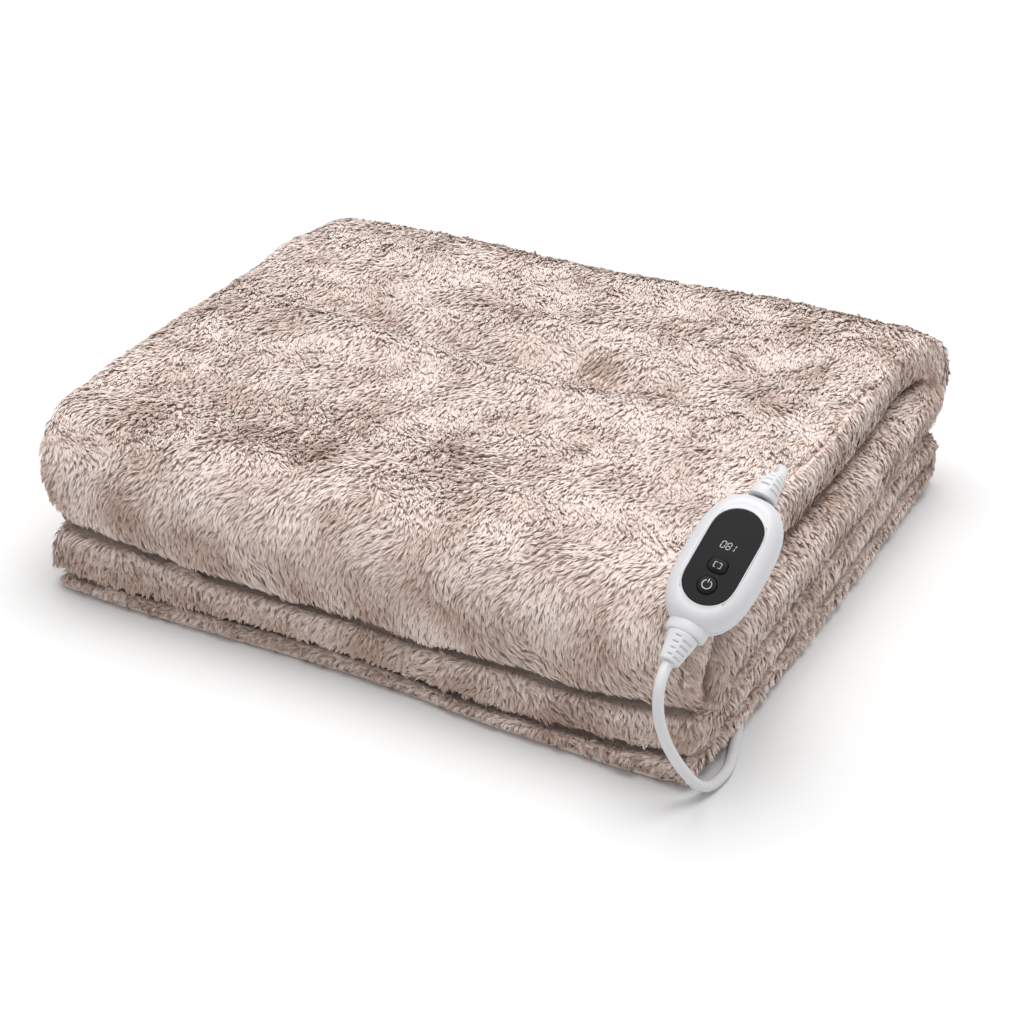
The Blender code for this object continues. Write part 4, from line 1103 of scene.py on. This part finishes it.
def sleeve(name, points, radii, slots, squash=1.0, ring=120, step=0.00022):
    """A tapered sleeve with sunk slots: (distance along, middle angle, half angle, width)."""
    pts, rad = np.asarray(points, float), np.asarray(radii, float)
    far = np.concatenate([[0], np.cumsum(np.linalg.norm(np.diff(pts, axis=0), axis=1))])
    count = int(far[-1] / step)
    goal = np.linspace(0, far[-1], count)
    if len(pts) > 2:
        fine = catmull(pts, np.linspace(0, 1, 200))
        fine_far = np.concatenate([[0], np.cumsum(np.linalg.norm(np.diff(fine, axis=0), axis=1))])
        fine_far *= far[-1] / fine_far[-1]
        line = np.stack([np.interp(goal, fine_far, fine[:, k]) for k in range(3)], 1)
    else:
        line = np.stack([np.interp(goal, far, pts[:, k]) for k in range(3)], 1)
    r = np.interp(goal, far, rad)
    tangent = unit(np.gradient(line, axis=0))
    up = np.array((0.0, 0.0, 1.0)) - tangent[:, 2:3] * tangent
    up = unit(up)
    across = np.cross(tangent, up)
    angle = 2 * np.pi * np.arange(ring) / ring
    sink = np.zeros((count, ring))
    for s, a0, half, width in slots:
        da = np.abs((angle - math.radians(a0) + np.pi) % (2 * np.pi) - np.pi)
        ds = np.abs(goal - s)
        wall_a = smooth_np((math.radians(half) - da) / math.radians(5))
        wall_s = smooth_np((width / 2 - ds) / 0.00030)
        sink = np.maximum(sink, 0.0010 * wall_s[:, None] * wall_a[None])
    edge = np.minimum(goal, far[-1] - goal)
    r = r - 0.0006 * (1 - np.sqrt(np.clip(1 - (1 - np.clip(edge / 0.0006, 0, 1)) ** 2, 0, 1)))
    radius = r[:, None] - sink
    verts = (line[:, None] + radius[..., None] * (np.cos(angle)[None, :, None] * up[:, None] * squash
                                                + np.sin(angle)[None, :, None] * across[:, None]))
    verts = verts.reshape(-1, 3)
    i = np.arange(count - 1)[:, None]
    j = np.arange(ring)[None]
    k = (j + 1) % ring
    quads = np.stack([i * ring + j, i * ring + k, (i + 1) * ring + k, (i + 1) * ring + j], -1).reshape(-1, 4)
    ends = np.vstack([verts, line[:1], line[-1:]])
    caps = np.vstack([np.column_stack([np.full(ring, len(verts)), np.arange(ring), (np.arange(ring) + 1) % ring]),
                      np.column_stack([np.full(ring, len(verts) + 1), (count - 1) * ring + np.arange(ring),
                                       (count - 1) * ring + (np.arange(ring) + 1) % ring])])
    mesh = mesh_from(name, held(ends), [quads, caps])
    bm = bmesh.new()
    bm.from_mesh(mesh)
    bmesh.ops.recalc_face_normals(bm, faces=bm.faces)
    bm.to_mesh(mesh)
    bm.free()
    mesh.shade_smooth()
    return new_object(name, mesh, SLEEVE)


lower_from = (0.0, -half_axis + CLEAR * 0.5, -BODY_T / 2)
lower_to = (0.0, -half_axis - RELIEF_L, -BODY_T / 2)
# slots in two staggered columns, towards the sides of the upper face
lower_slots = [(0.0032 + 0.0036 * i, 4, 15, 0.0014) for i in range(4)]
lower_slots += [(0.0046 + 0.0034 * i, -46, 27, 0.0014) for i in range(4)]
lower_sleeve = sleeve("lower_sleeve", (lower_from, lower_to), (RELIEF_BASE, RELIEF_TIP), lower_slots, 0.9)
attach(lower_sleeve, BODY)
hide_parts("relief_lower")
upper_slots = [(0.0040 + 0.0034 * i, 52, 28, 0.0013) for i in range(5)]
upper_slots += [(0.0058 + 0.0034 * i, -8, 24, 0.0013) for i in range(4)]
upper_sleeve = sleeve("upper_sleeve", [row[:3] for row in UPPER_SLEEVE], [row[3] for row in UPPER_SLEEVE],
                      upper_slots)
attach(upper_sleeve, BODY)
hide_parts("relief_upper")


# marks of the panel: strips a little proud of it
def strips(name, lines, z, width, mat, body, close=False):
    """Flat strips along lines of (x, y) in the panel's plane."""
    verts, faces = [], []
    for line in lines:
        pts = np.asarray(line, float)
        ahead = np.gradient(pts, axis=0)
        side = unit(np.column_stack([-ahead[:, 1], ahead[:, 0]])) * width / 2
        first = len(verts)
        for p, s in zip(pts, side):
            for end, h in ((-1, 0), (-1, 1), (1, 1), (1, 0)):
                verts.append((p[0] + end * s[0], p[1] + end * s[1], z + 0.00007 * h))
        for i in range(len(pts) - 1):
            for a, b in ((0, 1), (1, 2), (2, 3)):
                faces.append((first + 4 * i + a, first + 4 * i + b, first + 4 * i + 4 + b, first + 4 * i + 4 + a))
        faces.append((first, first + 3, first + 2, first + 1))
        last = first + 4 * (len(pts) - 1)
        faces.append((last, last + 1, last + 2, last + 3))
    mesh = mesh_from(name, held(verts), np.array(faces), False)
    piece = new_object(name, mesh, mat)
    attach(piece, body)
    return piece


def arc(cx, cy, r, a0, a1, count=20):
    t = np.radians(np.linspace(a0, a1, count))
    return np.column_stack([cx + r * np.cos(t), cy + r * np.sin(t)])


POWER_Y, LEVEL_Y = -0.0190, -0.0062
strips("power_marks", [arc(0, POWER_Y, 0.0027, 115, 425), [(0, POWER_Y + 0.0012), (0, POWER_Y + 0.0036)]],
       0.00103, 0.00055, MARKS, "power_key")
strips("level_marks", [[(-0.0010, LEVEL_Y - 0.0016), (-0.0021, LEVEL_Y - 0.0016), (-0.0021, LEVEL_Y + 0.0016),
                        (-0.0006, LEVEL_Y + 0.0016)],
                       [(0.0004, LEVEL_Y + 0.0016), (0.0021, LEVEL_Y + 0.0016), (0.0021, LEVEL_Y - 0.0016),
                        (0.0008, LEVEL_Y - 0.0016)]],
       0.00103, 0.00045, MARKS, "level_key")


def digit(which, x, y, w, h):
    slant = 0.12
    corner = {"tl": (-w / 2, h / 2), "tr": (w / 2, h / 2), "ml": (-w / 2, 0), "mr": (w / 2, 0),
              "bl": (-w / 2, -h / 2), "br": (w / 2, -h / 2)}
    bars = {"a": ("tl", "tr"), "b": ("tr", "mr"), "c": ("mr", "br"), "d": ("bl", "br"),
            "e": ("ml", "bl"), "f": ("tl", "ml"), "g": ("ml", "mr")}
    on = {"0": "abcdef", "1": "bc", "6": "acdefg", "8": "abcdefg", "H": "bcefg"}[which]
    out = []
    for bar in on:
        (x0, y0), (x1, y1) = (corner[c] for c in bars[bar])
        p, q = np.array((x0, y0)), np.array((x1, y1))
        p, q = p + 0.12 * (q - p), q - 0.12 * (q - p)
        out.append([(x + v[0] + slant * v[1], y + v[1]) for v in (p, q)])
    return out


DISPLAY_Y = 0.0068
strips("display_marks", digit("0", -0.0033, DISPLAY_Y, 0.0022, 0.0042)
       + digit("8", 0.0, DISPLAY_Y, 0.0022, 0.0042) + digit("1", 0.0026, DISPLAY_Y, 0.0022, 0.0042),
       0.00003, 0.0005, MARKS, BODY)

for node, mat in (("control_panel", BLACK), ("power_button", KEY), ("level_button", KEY),
                  ("plug_body", WHITE), ("plug_pin_a", NICKEL), ("plug_pin_b", NICKEL)):
    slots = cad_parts[node].data.materials
    for i in range(len(slots)):
        slots[i] = mat
    if not len(slots):
        slots.append(mat)


# ------------------------------------------------------------------ floor and light
def add_floor():
    mat, nodes, links, shader = new_material("floor_paint", 0.85)
    shader.inputs["Specular IOR Level"].default_value = 0.2
    noise = noise_node(nodes, links, 3.0)
    colours = ramp(nodes, ((0.3, (0.745, 0.745, 0.745, 1)), (0.7, (0.76, 0.76, 0.76, 1))))
    links.new(noise.outputs["Fac"], colours.inputs["Fac"])
    links.new(colours.outputs["Color"], shader.inputs["Base Color"])
    mesh = mesh_from("floor", [(-60, -60, 0), (60, -60, 0), (60, 60, 0), (-60, 60, 0)],
                     np.array([[0, 1, 2, 3]]), False)
    floor = new_object("floor", mesh, mat)
    floor.location.z = -0.0001


add_floor()


def area_light(name, at, aim, size, power, colour=(1, 1, 1)):
    data = bpy.data.lights.new(name, "AREA")
    data.shape = "RECTANGLE"
    data.size, data.size_y = size
    data.energy = power
    data.color = colour
    light = bpy.data.objects.new(name, data)
    bpy.context.scene.collection.objects.link(light)
    light.location = at
    light.rotation_euler = (Vector(aim) - Vector(at)).to_track_quat("-Z", "Y").to_euler()
    return light


sun = bpy.data.objects.new("key", bpy.data.lights.new("key", "SUN"))
sun.data.energy = 2.88
sun.data.angle = math.radians(54)
sun.location = (0.5, 0.2, 2.2)
sun.rotation_euler = Vector((-0.10, 0.22, 1.0)).to_track_quat("Z", "Y").to_euler()
bpy.context.scene.collection.objects.link(sun)
area_light("front", (-1.2, -1.9, 1.6), (0.0, 0.0, 0.05), (1.4, 1.0), 2)
area_light("right", (2.3, -0.5, 1.3), (0.1, 0.0, 0.05), (1.4, 1.0), 3)
world = bpy.data.worlds.new("studio")
world.use_nodes = True
world.node_tree.nodes["Background"].inputs["Color"].default_value = (1.0, 1.0, 1.0, 1.0)
world.node_tree.nodes["Background"].inputs["Strength"].default_value = 0.48
bpy.context.scene.world = world
bpy.context.scene.view_settings.view_transform = "Standard"

bpy.context.view_layer.update()
